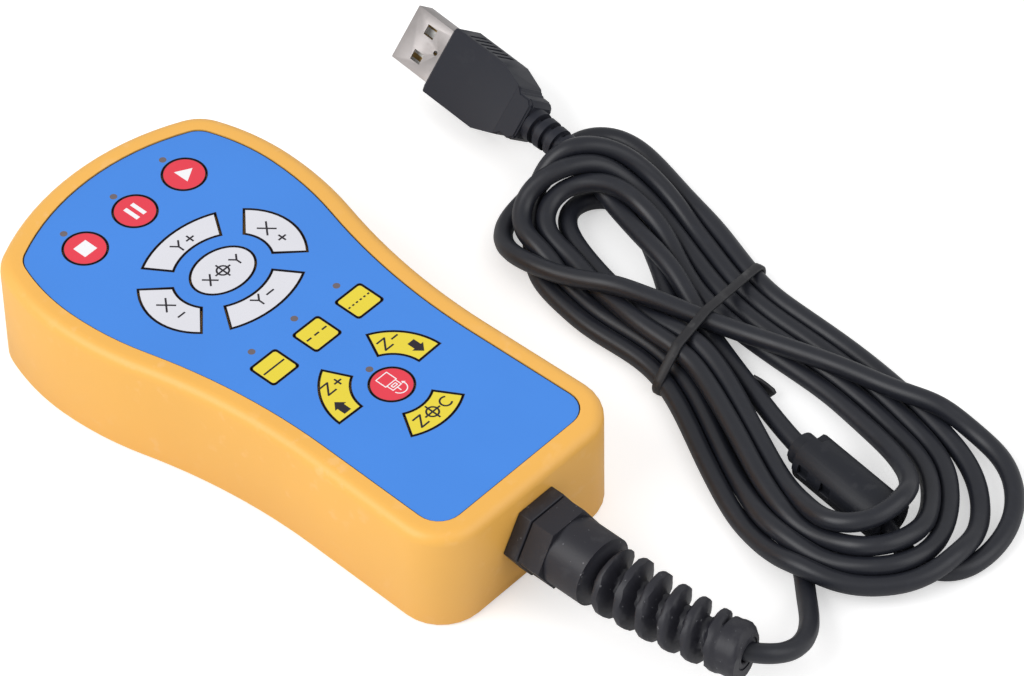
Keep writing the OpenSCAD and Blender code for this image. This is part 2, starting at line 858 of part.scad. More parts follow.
module usb_shell() {
    front = relief_l + plug_l;
    t = 0.3;
    color([0.75, 0.74, 0.74])
    plug_frame() difference() {
        translate([-shell_w / 2, front - 6, -shell_h / 2])
            cube([shell_w, shell_l + 6, shell_h]);
        translate([t - shell_w / 2, front - 6 + t, t - shell_h / 2])
            cube([shell_w - 2 * t, shell_l + 7, shell_h - 2 * t]);
        for (sx = [-1, 1]) {
            translate([sx * 2.9 - 1.1, front + 4.2, 0.5]) cube([2.2, 2.6, 5]);
        }
        translate([0, front + 2.0, 1]) cylinder(r = 0.5, h = 4, $fn = 24);
    }
}

module usb_tongue() {
    front = relief_l + plug_l;
    color([0.93, 0.93, 0.92])
    plug_frame() difference() {
        translate([-5.7, front - 5.7, 0.3 - shell_h / 2])
            cube([11.4, shell_l + 5.2, 1.9]);
        for (x = [-3.5, -1, 1, 3.5]) {
            translate([x - 0.5, front + 1, 2.0 - shell_h / 2])
                cube([1.0, 9.2, 1]);
        }
    }
}

module usb_contacts() {
    front = relief_l + plug_l;
    color([0.85, 0.68, 0.3])
    plug_frame() for (x = [-3.5, -1, 1, 3.5]) {
        translate([x - 0.5, front + 1, 2.0 - shell_h / 2])
            cube([1.0, 9.2, 0.25]);
    }
}

module key(k, c) {
    color(c) key_plate(k);
}

module pin(k) {
    color([0.9, 0.9, 0.88]) plunger(k);
}

module key_stop() {
    key(0, [0.9, 0.25, 0.3]);
}

module key_pause() {
    key(1, [0.9, 0.25, 0.3]);
}

module key_start() {
    key(2, [0.9, 0.25, 0.3]);
}

module key_centre() {
    key(3, [0.9, 0.9, 0.92]);
}

module key_y_plus() {
    key(4, [0.9, 0.9, 0.92]);
}

module key_y_minus() {
    key(5, [0.9, 0.9, 0.92]);
}

module key_x_minus() {
    key(6, [0.9, 0.9, 0.92]);
}

module key_x_plus() {
    key(7, [0.9, 0.9, 0.92]);
}

module key_step_solid() {
    key(8, [0.93, 0.85, 0.25]);
}

module key_step_dash() {
    key(9, [0.93, 0.85, 0.25]);
}

module key_step_dot() {
    key(10, [0.93, 0.85, 0.25]);
}

module key_spindle() {
    key(11, [0.9, 0.25, 0.3]);
}

module key_z_plus() {
    key(12, [0.93, 0.85, 0.25]);
}

module key_z_minus() {
    key(13, [0.93, 0.85, 0.25]);
}

module key_z_centre() {
    key(14, [0.93, 0.85, 0.25]);
}

module plunger_stop() {
    pin(0);
}

module plunger_pause() {
    pin(1);
}

module plunger_start() {
    pin(2);
}

module plunger_centre() {
    pin(3);
}

module plunger_y_plus() {
    pin(4);
}

module plunger_y_minus() {
    pin(5);
}

module plunger_x_minus() {
    pin(6);
}

module plunger_x_plus() {
    pin(7);
}

module plunger_step_solid() {
    pin(8);
}

module plunger_step_dash() {
    pin(9);
}

module plunger_step_dot() {
    pin(10);
}

module plunger_spindle() {
    pin(11);
}

module plunger_z_plus() {
    pin(12);
}

module plunger_z_minus() {
    pin(13);
}

module plunger_z_centre() {
    pin(14);
}

upper_housing();
rear_cover();
cover_screws();
graphic_overlay();
spacer_sheet();
light_pipes();
indicator_leds();
switch_bodies();
circuit_board();
board_components();
board_screws();
cable_header();
inner_leads();
gland_body();
gland_locknut();
gland_seal();
gland_cap();
cord_entry();
cord_lead();
cord_hank();
cord_bead();
cord_tie();
ferrite_case_lower();
ferrite_case_upper();
ferrite_core();
usb_overmould();
usb_shell();
usb_tongue();
usb_contacts();
key_stop();
key_pause();
key_start();
key_centre();
key_y_plus();
key_y_minus();
key_x_minus();
key_x_plus();
key_step_solid();
key_step_dash();
key_step_dot();
key_spindle();
key_z_plus();
key_z_minus();
key_z_centre();
plunger_stop();
plunger_pause();
plunger_start();
plunger_centre();
plunger_y_plus();
plunger_y_minus();
plunger_x_minus();
plunger_x_plus();
plunger_step_solid();
plunger_step_dash();
plunger_step_dot();
plunger_spindle();
plunger_z_plus();
plunger_z_minus();
plunger_z_centre();
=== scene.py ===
import json
import logging
import math
from dataclasses import dataclass, field, fields
from enum import Enum
from functools import cache
from typing import Any, Iterable, Sequence

import bmesh
import bpy
import numpy as np
from bmesh.types import BMesh, BMVert
from bpy.types import Material, Mesh, Object
from mathutils import Matrix, Vector
from mathutils.geometry import convex_hull_2d, delaunay_2d_cdt


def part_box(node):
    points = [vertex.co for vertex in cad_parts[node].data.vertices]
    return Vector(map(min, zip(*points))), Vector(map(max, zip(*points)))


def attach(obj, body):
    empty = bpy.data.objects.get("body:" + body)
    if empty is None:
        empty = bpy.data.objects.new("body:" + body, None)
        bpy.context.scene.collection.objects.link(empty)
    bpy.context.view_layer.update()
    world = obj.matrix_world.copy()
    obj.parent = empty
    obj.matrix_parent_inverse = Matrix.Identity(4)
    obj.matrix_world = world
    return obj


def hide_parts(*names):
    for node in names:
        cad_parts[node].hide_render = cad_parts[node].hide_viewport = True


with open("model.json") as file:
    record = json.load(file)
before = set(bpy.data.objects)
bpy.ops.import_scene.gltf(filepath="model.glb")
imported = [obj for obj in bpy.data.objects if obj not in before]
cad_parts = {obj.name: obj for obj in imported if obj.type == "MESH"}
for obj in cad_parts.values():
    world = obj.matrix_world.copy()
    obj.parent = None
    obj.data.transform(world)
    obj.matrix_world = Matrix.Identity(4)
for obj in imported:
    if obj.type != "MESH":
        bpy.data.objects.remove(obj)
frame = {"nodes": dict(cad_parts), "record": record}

LOG = logging.getLogger("pendant")
MM = 0.001
WELD = 2e-6  # metres within which two corners are one
TINY = 1e-9  # keeps a division from meeting zero
BODY = "pendant"
Point = tuple[float, float]
Point3 = tuple[float, float, float]
Run = tuple[Point3, ...]
Colour = tuple[float, float, float]
RECORD = frame["record"]
BODY_OF = {n: b for b, nodes in RECORD["behaviour"]["bodies"].items() for n in nodes}
SLOT_OF = {part["node"]: part["material_slot"] for part in RECORD["subparts"]}


def linear(colour: Colour) -> tuple[float, float, float, float]:
    """Turns a display colour into a shader colour.

    Args:
        colour: Red, green and blue, each from 0 to 255.

    Returns:
        Linear red, green, blue and an alpha of 1.
    """
    parts = [c / 255 for c in colour]
    lin = [p / 12.92 if p <= 0.04045 else ((p + 0.055) / 1.055) ** 2.4 for p in parts]
    return (lin[0], lin[1], lin[2], 1.0)


def shade(colour: Sequence[float], share: float) -> tuple[float, ...]:
    """A shader colour times a share, with an alpha of 1."""
    return tuple(min(1.0, c * share) for c in colour[:3]) + (1.0,)


class Wire:
    """A shader value that takes part in Python arithmetic."""

    def __init__(self, shader: "Shader", socket: Any) -> None:
        """Keeps the socket and the shader that it belongs to."""
        self.shader = shader
        self.socket = socket

    def _math(self, operation: str, first: Any, second: Any) -> "Wire":
        """Adds one Math node.

        Args:
            operation: Name of the Math node's operation.
            first: Left value or wire.
            second: Right value or wire.

        Returns:
            The node's result.
        """
        return self.shader.node(
            "ShaderNodeMath", {"operation": operation}, {0: first, 1: second}
        )

    def __add__(self, other: Any) -> "Wire":
        """Sum."""
        return self._math("ADD", self, other)

    __radd__ = __add__

    def __sub__(self, other: Any) -> "Wire":
        """Difference."""
        return self._math("SUBTRACT", self, other)

    def __rsub__(self, other: Any) -> "Wire":
        """Reflected difference."""
        return self._math("SUBTRACT", other, self)

    def __mul__(self, other: Any) -> "Wire":
        """Product."""
        return self._math("MULTIPLY", self, other)

    __rmul__ = __mul__

    def above(self, edge: float, soft: float) -> "Wire":
        """A mask that rises smoothly from 0 to 1.

        Args:
            edge: Value at which the mask is half up.
            soft: Width over which it rises.

        Returns:
            The mask.
        """
        return self.shader.node(
            "ShaderNodeMapRange",
            {"interpolation_type": "SMOOTHSTEP"},
            {"Value": self, "From Min": edge - soft / 2, "From Max": edge + soft / 2},
        )


class Shader:
    """A procedural material under construction."""

    def __init__(self, name: str) -> None:
        """Makes a material with a Principled shader in it.

        Args:
            name: Name of the material.
        """
        self.material = bpy.data.materials.new(name)
        self.material.use_nodes = True
        self.tree = self.material.node_tree
        self.principled = self.tree.nodes["Principled BSDF"]

    def node(
        self, kind: str, settings: dict[str, Any], values: dict[Any, Any],
        output: Any = 0,
    ) -> Wire:
        """Adds a node of any kind.

        Args:
            kind: Blender's type name of the node.
            settings: Properties that are set before the sockets.
            values: Numbers or wires for sockets, by name or index.
            output: Name or index of the output that is returned.

        Returns:
            The chosen output.
        """
        made = self.tree.nodes.new(kind)
        for key, value in settings.items():
            setattr(made, key, value)
        for key, value in values.items():
            if isinstance(value, Wire):
                self.tree.links.new(value.socket, made.inputs[key])
            else:
                made.inputs[key].default_value = value
        return Wire(self, made.outputs[output])

    def place(self, scale: Sequence[float] = (1, 1, 1)) -> Wire:
        """Object coordinates in millimetres.

        Args:
            scale: Factor along X, Y and Z.

        Returns:
            The coordinates.
        """
        here = self.node("ShaderNodeTexCoord", {}, {}, "Object")
        return self.node(
            "ShaderNodeVectorMath", {"operation": "MULTIPLY"},
            {0: here, 1: tuple(s / MM for s in scale)},
        )

    def noise(
        self, size: float, detail: float = 2.0,
        stretch: Sequence[float] = (1, 1, 1),
    ) -> Wire:
        """Noise over the surface.

        Args:
            size: Width of its blobs in millimetres.
            detail: How many finer layers it has.
            stretch: Factor along X, Y and Z.

        Returns:
            The noise, from 0 to 1.
        """
        return self.node(
            "ShaderNodeTexNoise", {},
            {"Vector": self.place(stretch), "Scale": 1 / size, "Detail": detail},
        )

    def blend(self, mask: Wire | float, low: Any, high: Any) -> Wire:
        """Colour that goes from low to high with the mask."""
        return self.node(
            "ShaderNodeMix", {"data_type": "RGBA"}, {0: mask, 6: low, 7: high}, 2
        )

    def bump(self, height: Wire, depth: float, strength: float = 1.0) -> Wire:
        """Bump of a depth in millimetres."""
        return self.node(
            "ShaderNodeBump", {},
            {"Strength": strength, "Distance": depth * MM, "Height": height},
        )

    def feed(self, **values: Any) -> Material:
        """Sets Principled sockets and gives back the material.

        Args:
            **values: Socket names with underscores for spaces.

        Returns:
            The finished material.
        """
        for key, value in values.items():
            socket = self.principled.inputs[key.replace("_", " ")]
            if isinstance(value, Wire):
                self.tree.links.new(value.socket, socket)
            else:
                socket.default_value = value
        return self.material


@dataclass(frozen=True)
class Finish:
    """What every finish has.

    Attributes:
        name: Name of the material.
        colour: Main display colour.
        rough: Mean roughness.
    """

    name: str
    colour: Colour
    rough: float = 0.45

    def build(self) -> Material:
        """Builds the material."""
        raise NotImplementedError


@dataclass(frozen=True)
class Moulded(Finish):
    """Injection-moulded plastic with a sparked grain and light handling wear.

    Attributes:
        grain: Width of the grain in millimetres.
        depth: Depth of the grain in millimetres.
        tone: How far the colour drifts over the surface, from 0 to 1.
        wear: How much lighter rubbed spots are, from 0 to 1.
        coat: Weight of the clear skin on glossy plastics.
        dust: How strongly specks of dust show, from 0 to 1.
        gloss: Strength of the highlights.
    """

    grain: float = 0.35
    depth: float = 0.012
    tone: float = 0.06
    wear: float = 0.08
    coat: float = 0.0
    dust: float = 0.0
    gloss: float = 0.5

    def build(self) -> Material:
        """Builds the material.

        Returns:
            The finished material.
        """
        s = Shader(self.name)
        drift = s.noise(38, 3)
        rubbed = s.noise(3.2, 6).above(0.62, 0.12) * s.noise(16, 2).above(0.5, 0.3)
        base = linear(self.colour)
        dark = shade(base, 1 - self.tone)
        light = tuple(min(1.0, c + self.wear * (1 - c)) for c in base[:3]) + (1.0,)
        colour = s.blend(drift.above(0.5, 0.5), dark, base)
        colour = s.blend(rubbed * 0.5, colour, light)
        if self.dust:
            speck = s.noise(0.9, 4).above(0.71, 0.04) * self.dust
            colour = s.blend(speck, colour, linear((150, 150, 155)))
        return s.feed(
            Base_Color=colour, Coat_Weight=self.coat, Specular_IOR_Level=self.gloss,
            Roughness=self.rough + (drift - 0.5) * 0.12 + rubbed * 0.1,
            Normal=s.bump(s.noise(self.grain, 2), self.depth),
        )


@dataclass(frozen=True)
class Film(Finish):
    """Printed polyester film with a fine velvet texture.

    Attributes:
        tone: How far the print drifts, from 0 to 1.
    """

    rough: float = 0.38
    tone: float = 0.04

    def build(self) -> Material:
        """Builds the material.

        Returns:
            The finished material.
        """
        s = Shader(self.name)
        base = linear(self.colour)
        low = shade(base, 1 - self.tone)
        drift = s.noise(24, 3)
        smear = s.noise(6, 4, (1, 0.35, 1)).above(0.58, 0.3)
        velvet = s.noise(0.16, 1)
        return s.feed(
            Base_Color=s.blend(drift.above(0.5, 0.6), low, base),
            Roughness=self.rough + smear * 0.08 + (velvet - 0.5) * 0.1,
            Normal=s.bump(velvet, 0.006),
        )


@dataclass(frozen=True)
class Jacket(Finish):
    """Soft extruded cable jacket with draw lines and scuffs."""

    rough: float = 0.42

    def build(self) -> Material:
        """Builds the material.

        Returns:
            The finished material.
        """
        s = Shader(self.name)
        base = linear(self.colour)
        scuffed = shade(base, 1.5)
        cloud = s.noise(7, 5)
        scuff = s.noise(1.1, 5, (1, 0.4, 1)).above(0.62, 0.12)
        return s.feed(
            Base_Color=s.blend(scuff * 0.35 + cloud * 0.15, base, scuffed),
            Roughness=self.rough + (cloud - 0.5) * 0.2,
            Normal=s.bump(s.noise(0.5, 3), 0.01, 0.7),
        )


@dataclass(frozen=True)
class Metal(Finish):
    """Plated or bare metal with rolling lines.

    Attributes:
        lines: Stretch of the rolling lines along X, Y and Z.
    """

    rough: float = 0.28
    lines: tuple[float, float, float] = (1, 0.12, 1)

    def build(self) -> Material:
        """Builds the material.

        Returns:
            The finished material.
        """
        s = Shader(self.name)
        base = linear(self.colour)
        dull = shade(base, 0.82)
        lines = s.noise(0.3, 3, self.lines)
        stain = s.noise(5, 4).above(0.55, 0.3)
        return s.feed(
            Base_Color=s.blend(stain * 0.6, base, dull), Metallic=1.0,
            Roughness=self.rough + (lines - 0.5) * 0.16 + stain * 0.08,
            Normal=s.bump(lines, 0.004, 0.6),
        )


FINISHES: dict[str, Finish] = {finish.name: finish for finish in (
    Moulded("housing_yellow", (251, 189, 90), 0.42, wear=0.12),
    Moulded("cover_yellow", (246, 182, 84), 0.46),
    Metal("screw_steel", (120, 121, 126), 0.35),
    Film("overlay_blue", (68, 140, 234)),
    Film("spacer_black", (34, 34, 40), 0.6),
    Moulded("light_pipe", (112, 102, 108), 0.3, depth=0.002),
    Moulded("led_body", (225, 215, 170), 0.2, coat=0.4),
    Moulded("switch_black", (44, 44, 48)),
    Moulded("board_green", (30, 92, 52), 0.3, coat=0.3),
    Moulded("component_black", (42, 42, 46)),
    Moulded("header_ivory", (228, 222, 200)),
    Moulded("wire_red", (176, 44, 40)),
    Moulded("gland_black", (40, 40, 47), 0.45, 0.5, 0.02, 0.12, 0.03,
           dust=0.4, gloss=0.4),
    Moulded("seal_rubber", (38, 38, 40), 0.6),
    Jacket("cable_black", (29, 31, 39)),
    Moulded("tie_black", (34, 34, 38), 0.5),
    Moulded("bead_black", (33, 35, 42), 0.45, 0.4, 0.015, 0.1, 0.02,
           gloss=0.3),
    Moulded("ferrite_grey", (70, 70, 72), 0.5),
    Moulded("plug_black", (39, 41, 50), 0.5, 0.4, 0.01, 0.1, 0.02,
           gloss=0.25),
    Metal("shell_steel", (174, 169, 168), 0.46),
    Moulded("tongue_white", (236, 236, 232)),
    Metal("contact_gold", (176, 146, 88), 0.3),
    Film("key_red", (237, 62, 80)),
    Film("key_white", (229, 229, 236)),
    Film("key_yellow", (240, 219, 62)),
    Moulded("plunger_white", (232, 232, 226)),
    # Dark ink of the legends, also used for the painted shade in the gaps round keys
    # and openings.
    Film("ink_dark", (34, 28, 38), 0.5, 0.2),
    Film("ink_white", (250, 250, 252), 0.45, 0.02),
)}


@cache
def material(name: str) -> Material:
    """Material of a finish, built when first asked for."""
    return FINISHES[name].build()


class Print(Enum):
    """Inks that the keypad is printed with; the dark one also paints shade in the gaps.
    """

    DARK = "ink_dark"
    WHITE = "ink_white"


class Face(Enum):
    """Key faces that a legend can be printed on, by the part of a node's name."""

    STOP = "stop"
    PAUSE = "pause"
    START = "start"
    SPINDLE = "spindle"
    CENTRE = "centre"
    Y_PLUS = "y_plus"
    Y_MINUS = "y_minus"
    X_MINUS = "x_minus"
    X_PLUS = "x_plus"
    STEP_SOLID = "step_solid"
    STEP_DASH = "step_dash"
    STEP_DOT = "step_dot"
    Z_PLUS = "z_plus"
    Z_MINUS = "z_minus"
    Z_CENTRE = "z_centre"


def norms(rows: np.ndarray) -> np.ndarray:
    """Length of each row."""
    return np.sqrt((rows * rows).sum(1))


def turns(count: int, shift: float = 0) -> list[float]:
    """Angles of even steps round a circle, in radians."""
    return [2 * math.pi * (k + shift) / count for k in range(count)]


def put(name: str, data: Any) -> Object:
    """Puts something in the scene.

    Args:
        name: Name of the object.
        data: Its mesh, curve, lamp or camera.

    Returns:
        The object.
    """
    made = bpy.data.objects.new(name, data)
    bpy.context.scene.collection.objects.link(made)
    return made


def tube(bm: BMesh, rings: Iterable[Iterable[Sequence[float]]],
         closed: bool = True, smooth: bool = True) -> None:
    """Adds the surface that runs through rings of as many points each.

    Args:
        bm: Shape in millimetres.
        rings: Points of the rings, in order.
        closed: Whether the last ring meets the first. Open ends are capped.
        smooth: Whether the surface is shaded smooth.
    """
    made = [[bm.verts.new(point) for point in ring] for ring in rings]
    for one, two in zip(made, made[1:] + made[:1] if closed else made[1:]):
        for k in range(len(one)):
            m = (k + 1) % len(one)
            bm.faces.new((one[k], one[m], two[m], two[k])).smooth = smooth
    if not closed:
        bm.faces.new(made[0])
        bm.faces.new(made[-1])


def solid(bm: BMesh, name: str, pose: Matrix = Matrix.Identity(4)) -> Mesh:
    """Turns a shape in millimetres into a mesh in metres.

    Args:
        bm: The shape, which is used up.
        name: Name of the mesh.
        pose: Where the shape lies in the row frame, in millimetres.

    Returns:
        The mesh, with its faces turned outwards.
    """
    bmesh.ops.recalc_face_normals(bm, faces=bm.faces)
    bmesh.ops.transform(bm, matrix=Matrix.Scale(MM, 4) @ pose, verts=bm.verts)
    mesh = bpy.data.meshes.new(name)
    bm.to_mesh(mesh)
    bm.free()
    return mesh


def crease(bm: BMesh, angle: float) -> None:
    """Shades a shape smooth and keeps its sharp edges crisp.

    Args:
        bm: The shape.
        angle: Least angle of a crisp edge, in degrees.
    """
    for face in bm.faces:
        face.smooth = True
    for edge in bm.edges:
        if len(edge.link_faces) == 2:
            edge.smooth = edge.calc_face_angle() < math.radians(angle)


@dataclass
class Marks:
    """Flat printed marks, joined into one thin closed solid.

    Attributes:
        line: Width of the lines.
        at: Middle that every mark is placed from.
        shapes: Outlines that are drawn so far.
    """

    line: float
    at: Point
    shapes: list[list[Point]] = field(default_factory=list)

    def polygon(self, *points: Point) -> None:
        """Adds a filled convex or plain shape."""
        x, y = self.at
        self.shapes.append([(float(x + a), float(y + b)) for a, b in points])

    def bar(self, x: float, y: float, wide: float, high: float) -> None:
        """Adds a filled rectangle about a centre."""
        a, b = wide / 2, high / 2
        self.polygon((x - a, y - b), (x + a, y - b), (x + a, y + b), (x - a, y + b))

    def stroke(self, *points: Point) -> None:
        """Adds a line of even width through the points, with round joints."""
        half = self.line / 2
        for (ax, ay), (bx, by) in zip(points, points[1:]):
            far = math.hypot(bx - ax, by - ay)
            nx, ny = (ay - by) / far * half, (bx - ax) / far * half
            self.polygon((ax - nx, ay - ny), (bx - nx, by - ny),
                         (bx + nx, by + ny), (ax + nx, ay + ny))
        for x, y in points[1:-1]:
            self.polygon(*[(x + half * math.cos(a), y + half * math.sin(a))
                           for a in turns(12)])

    def arc(self, x: float, y: float, r: float, start: float = 0,
            end: float = 360) -> None:
        """Adds a curved line.

        Args:
            x: Middle of the curve.
            y: Middle of the curve.
            r: Radius.
            start: Where it starts, in degrees from X.
            end: Where it ends.
        """
        sweep = end - start
        steps = max(4, int(abs(sweep) / 12))
        angles = [math.radians(start + sweep * k / steps) for k in range(steps + 1)]
        lo, hi = r - self.line / 2, r + self.line / 2
        for a, b in zip(angles, angles[1:]):
            self.polygon((x + lo * math.cos(a), y + lo * math.sin(a)),
                         (x + hi * math.cos(a), y + hi * math.sin(a)),
                         (x + hi * math.cos(b), y + hi * math.sin(b)),
                         (x + lo * math.cos(b), y + lo * math.sin(b)))

    def sign(self, text: str, x: float, y: float, wide: float, high: float) -> None:
        """Adds one generic sign.

        Args:
            text: One of X, Y, Z, C, + and -.
            x: Middle of the sign.
            y: Middle of the sign.
            wide: Width.
            high: Height.
        """
        a, b = wide / 2, high / 2
        drawn: dict[str, list[list[Point]]] = {
            "X": [[(-a, b), (a, -b)], [(-a, -b), (a, b)]],
            "Y": [[(-a, b), (0, 0.02)], [(a, b), (0, 0.02)], [(0, 0.05), (0, -b)]],
            "Z": [[(-a, b), (a * 0.95, b), (-a, -b), (a, -b)]],
            "+": [[(-a, 0), (a, 0)], [(0, b), (0, -b)]],
            "-": [[(-a, 0), (a, 0)]],
        }
        if text == "C":
            self.arc(x, y, b - self.line / 2 + 0.06, 48, 312)
            return
        for line in drawn[text]:
            self.stroke(*[(x + p, y + q) for p, q in line])

    def target(self, x: float, y: float, r: float, reach: float) -> None:
        """Adds a ring with a cross through it."""
        self.arc(x, y, r)
        self.stroke((x - reach, y), (x + reach, y))
        self.stroke((x, y - reach), (x, y + reach))

    def frame(self, left: float, right: float, low: float, high: float) -> None:
        """Adds the outline of a rectangle."""
        self.stroke((left, low), (right, low), (right, high), (left, high), (left, low),
                    (right, low))

    def arrow(self, x: float, tip: float, shoulder: float, end: float,
              head: float, stem: float) -> None:
        """Adds a block arrow that points along Y."""
        self.polygon((x, tip), (x - head, shoulder), (x + head, shoulder))
        self.polygon((x - stem, shoulder), (x - stem, end), (x + stem, end),
                     (x + stem, shoulder))

    def mesh(self, name: str, low: float, high: float) -> Mesh:
        """Joins the marks and gives them a thickness.

        Args:
            name: Name of the mesh.
            low: Level of the underside.
            high: Level of the printed face.

        Returns:
            A closed mesh in metres.
        """
        points, faces = [], []
        for shape in self.shapes:
            area = sum(a[0] * b[1] - b[0] * a[1]
                       for a, b in zip(shape, shape[1:] + shape[:1]))
            ordered = shape if area > 0 else shape[::-1]
            faces.append(list(range(len(points), len(points) + len(shape))))
            points += [Vector(p) for p in ordered]
        spots, _, parts, _, _, owners = delaunay_2d_cdt(points, [], faces, 0, 1e-4)
        bm = bmesh.new()
        verts = [bm.verts.new((p.x, p.y, low)) for p in spots]
        made = [bm.faces.new([verts[i] for i in part])
                for part, owner in zip(parts, owners) if owner]
        loose = [v for v in bm.verts if not v.link_faces]
        bmesh.ops.delete(bm, geom=loose, context="VERTS")
        grown = bmesh.ops.extrude_face_region(bm, geom=made)["geom"]
        for item in grown:
            if isinstance(item, BMVert):
                item.co.z = high
        return solid(bm, name)


def top_loops(mesh: Mesh) -> list[list[Point]]:
    """Edges of a plate's top face, each with the plate on its left.

    Args:
        mesh: A flat plate in metres.

    Returns:
        Closed loops of points in millimetres.
    """
    bm = bmesh.new()
    bm.from_mesh(mesh)
    bmesh.ops.remove_doubles(bm, verts=bm.verts, dist=WELD)
    top = max(v.co.z for v in bm.verts)
    flat = dict.fromkeys(f for f in bm.faces if f.normal.z > 0.9
                         and all(abs(v.co.z - top) < WELD for v in f.verts))
    after: dict[int, tuple[int, Point]] = {}
    for face in flat:
        for loop in face.loops:
            if not any(f in flat and f is not face for f in loop.edge.link_faces):
                a, b = loop.vert, loop.link_loop_next.vert
                after[a.index] = (b.index, (a.co.x / MM, a.co.y / MM))
    bm.free()
    loops: list[list[Point]] = []
    while after:
        start = here = next(iter(after))
        loop: list[Point] = []
        while here in after:
            there, point = after.pop(here)
            loop.append(point)
            here = there
            if here == start:
                break
        loops.append(loop)
    return loops


def band(loops: Iterable[Sequence[Point]], top: float, wide: float,
         deep: float, name: str) -> Mesh:
    """Painted shade: a dark band that wraps a plate's rim and darkens the gap round it.

    Args:
        loops: Edges of the plate, with the plate on their left.
        top: Level of the plate's face.
        wide: How far the painted shade reaches in from the edge.
        deep: How far it runs down the edge.
        name: Name of the mesh.

    Returns:
        A closed mesh in metres.
    """
    # The section paints shade on the rim's top and down its side, where the gap is.
    skin, under, inside = 0.012, 0.02, 0.03
    section = ((wide, top + skin), (-skin, top + skin), (-skin, top - deep),
               (inside, top - deep), (inside, top - under), (wide, top - under))
    bm = bmesh.new()
    for loop in loops:
        p = np.asarray(loop, float)
        p = p[norms(p - np.roll(p, 1, 0)) > 0.01]
        ahead = np.roll(p, -1, 0) - p
        ahead /= norms(ahead)[:, None]
        left = np.stack([-ahead[:, 1], ahead[:, 0]], 1)
        both = left + np.roll(left, 1, 0)
        inward = both / np.maximum((both * left).sum(1), 0.5)[:, None]
        tube(bm, [[(*(q + n * d), z) for d, z in section] for q, n in zip(p, inward)],
             smooth=False)
    return solid(bm, name)


class Assembly:
    """CAD nodes and pieces of its own that are dressed together."""

    def dress(self, node: str, angle: float = 32, soft: float = 0) -> Object:
        """Skins a CAD node with its finish.

        Args:
            node: Name of the CAD node.
            angle: Edges sharper than this many degrees stay crisp.
            soft: Radius in millimetres that sharp edges are broken with.

        Returns:
            The dressed piece.
        """
        mesh = bpy.data.meshes.new(f"{node}_skin")
        bm = bmesh.new()
        bm.from_mesh(frame["nodes"][node].data)
        bmesh.ops.remove_doubles(bm, verts=bm.verts, dist=WELD)
        bmesh.ops.dissolve_degenerate(bm, edges=bm.edges, dist=1e-6)
        if soft:
            bmesh.ops.dissolve_limit(bm, angle_limit=math.radians(0.6),
                                     verts=bm.verts, edges=bm.edges)
        crease(bm, math.inf if soft else angle)
        bm.to_mesh(mesh)
        bm.free()
        piece = self.add(mesh, BODY_OF[node], SLOT_OF[node], f"{node}_skin")
        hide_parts(node)
        if soft:
            rounding = piece.modifiers.new("soft_edges", "BEVEL")
            rounding.width = soft * MM
            rounding.segments = 3
            rounding.limit_method = "ANGLE"
            rounding.angle_limit = math.radians(angle)
            rounding.harden_normals = True
        return piece

    def add(self, mesh: Mesh, body: str, slot: str, name: str,
            finish: str = "") -> Object:
        """Places a mesh as a piece.

        Args:
            mesh: Mesh in metres, in the row frame.
            body: CAD body that carries it.
            slot: Material slot that it takes its finish from.
            name: Name of the piece.
            finish: Finish, where it isn't the slot's own.

        Returns:
            The piece.
        """
        piece = put(name, mesh)
        mesh.materials.clear()
        mesh.materials.append(material(finish or slot))
        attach(piece, body)
        LOG.info("%s: %d faces, %s", name, len(mesh.polygons), finish or slot)
        return piece


@dataclass
class Case(Assembly):
    """Moulded shell, rear cover and its screws.

    Attributes:
        crisp: Angle in degrees above which the shell's edges stay crisp.
    """

    crisp: float = 32

    def build(self) -> None:
        """Dresses the case."""
        self.dress("upper_housing", self.crisp)
        self.dress("rear_cover", self.crisp)
        self.dress("cover_screws")


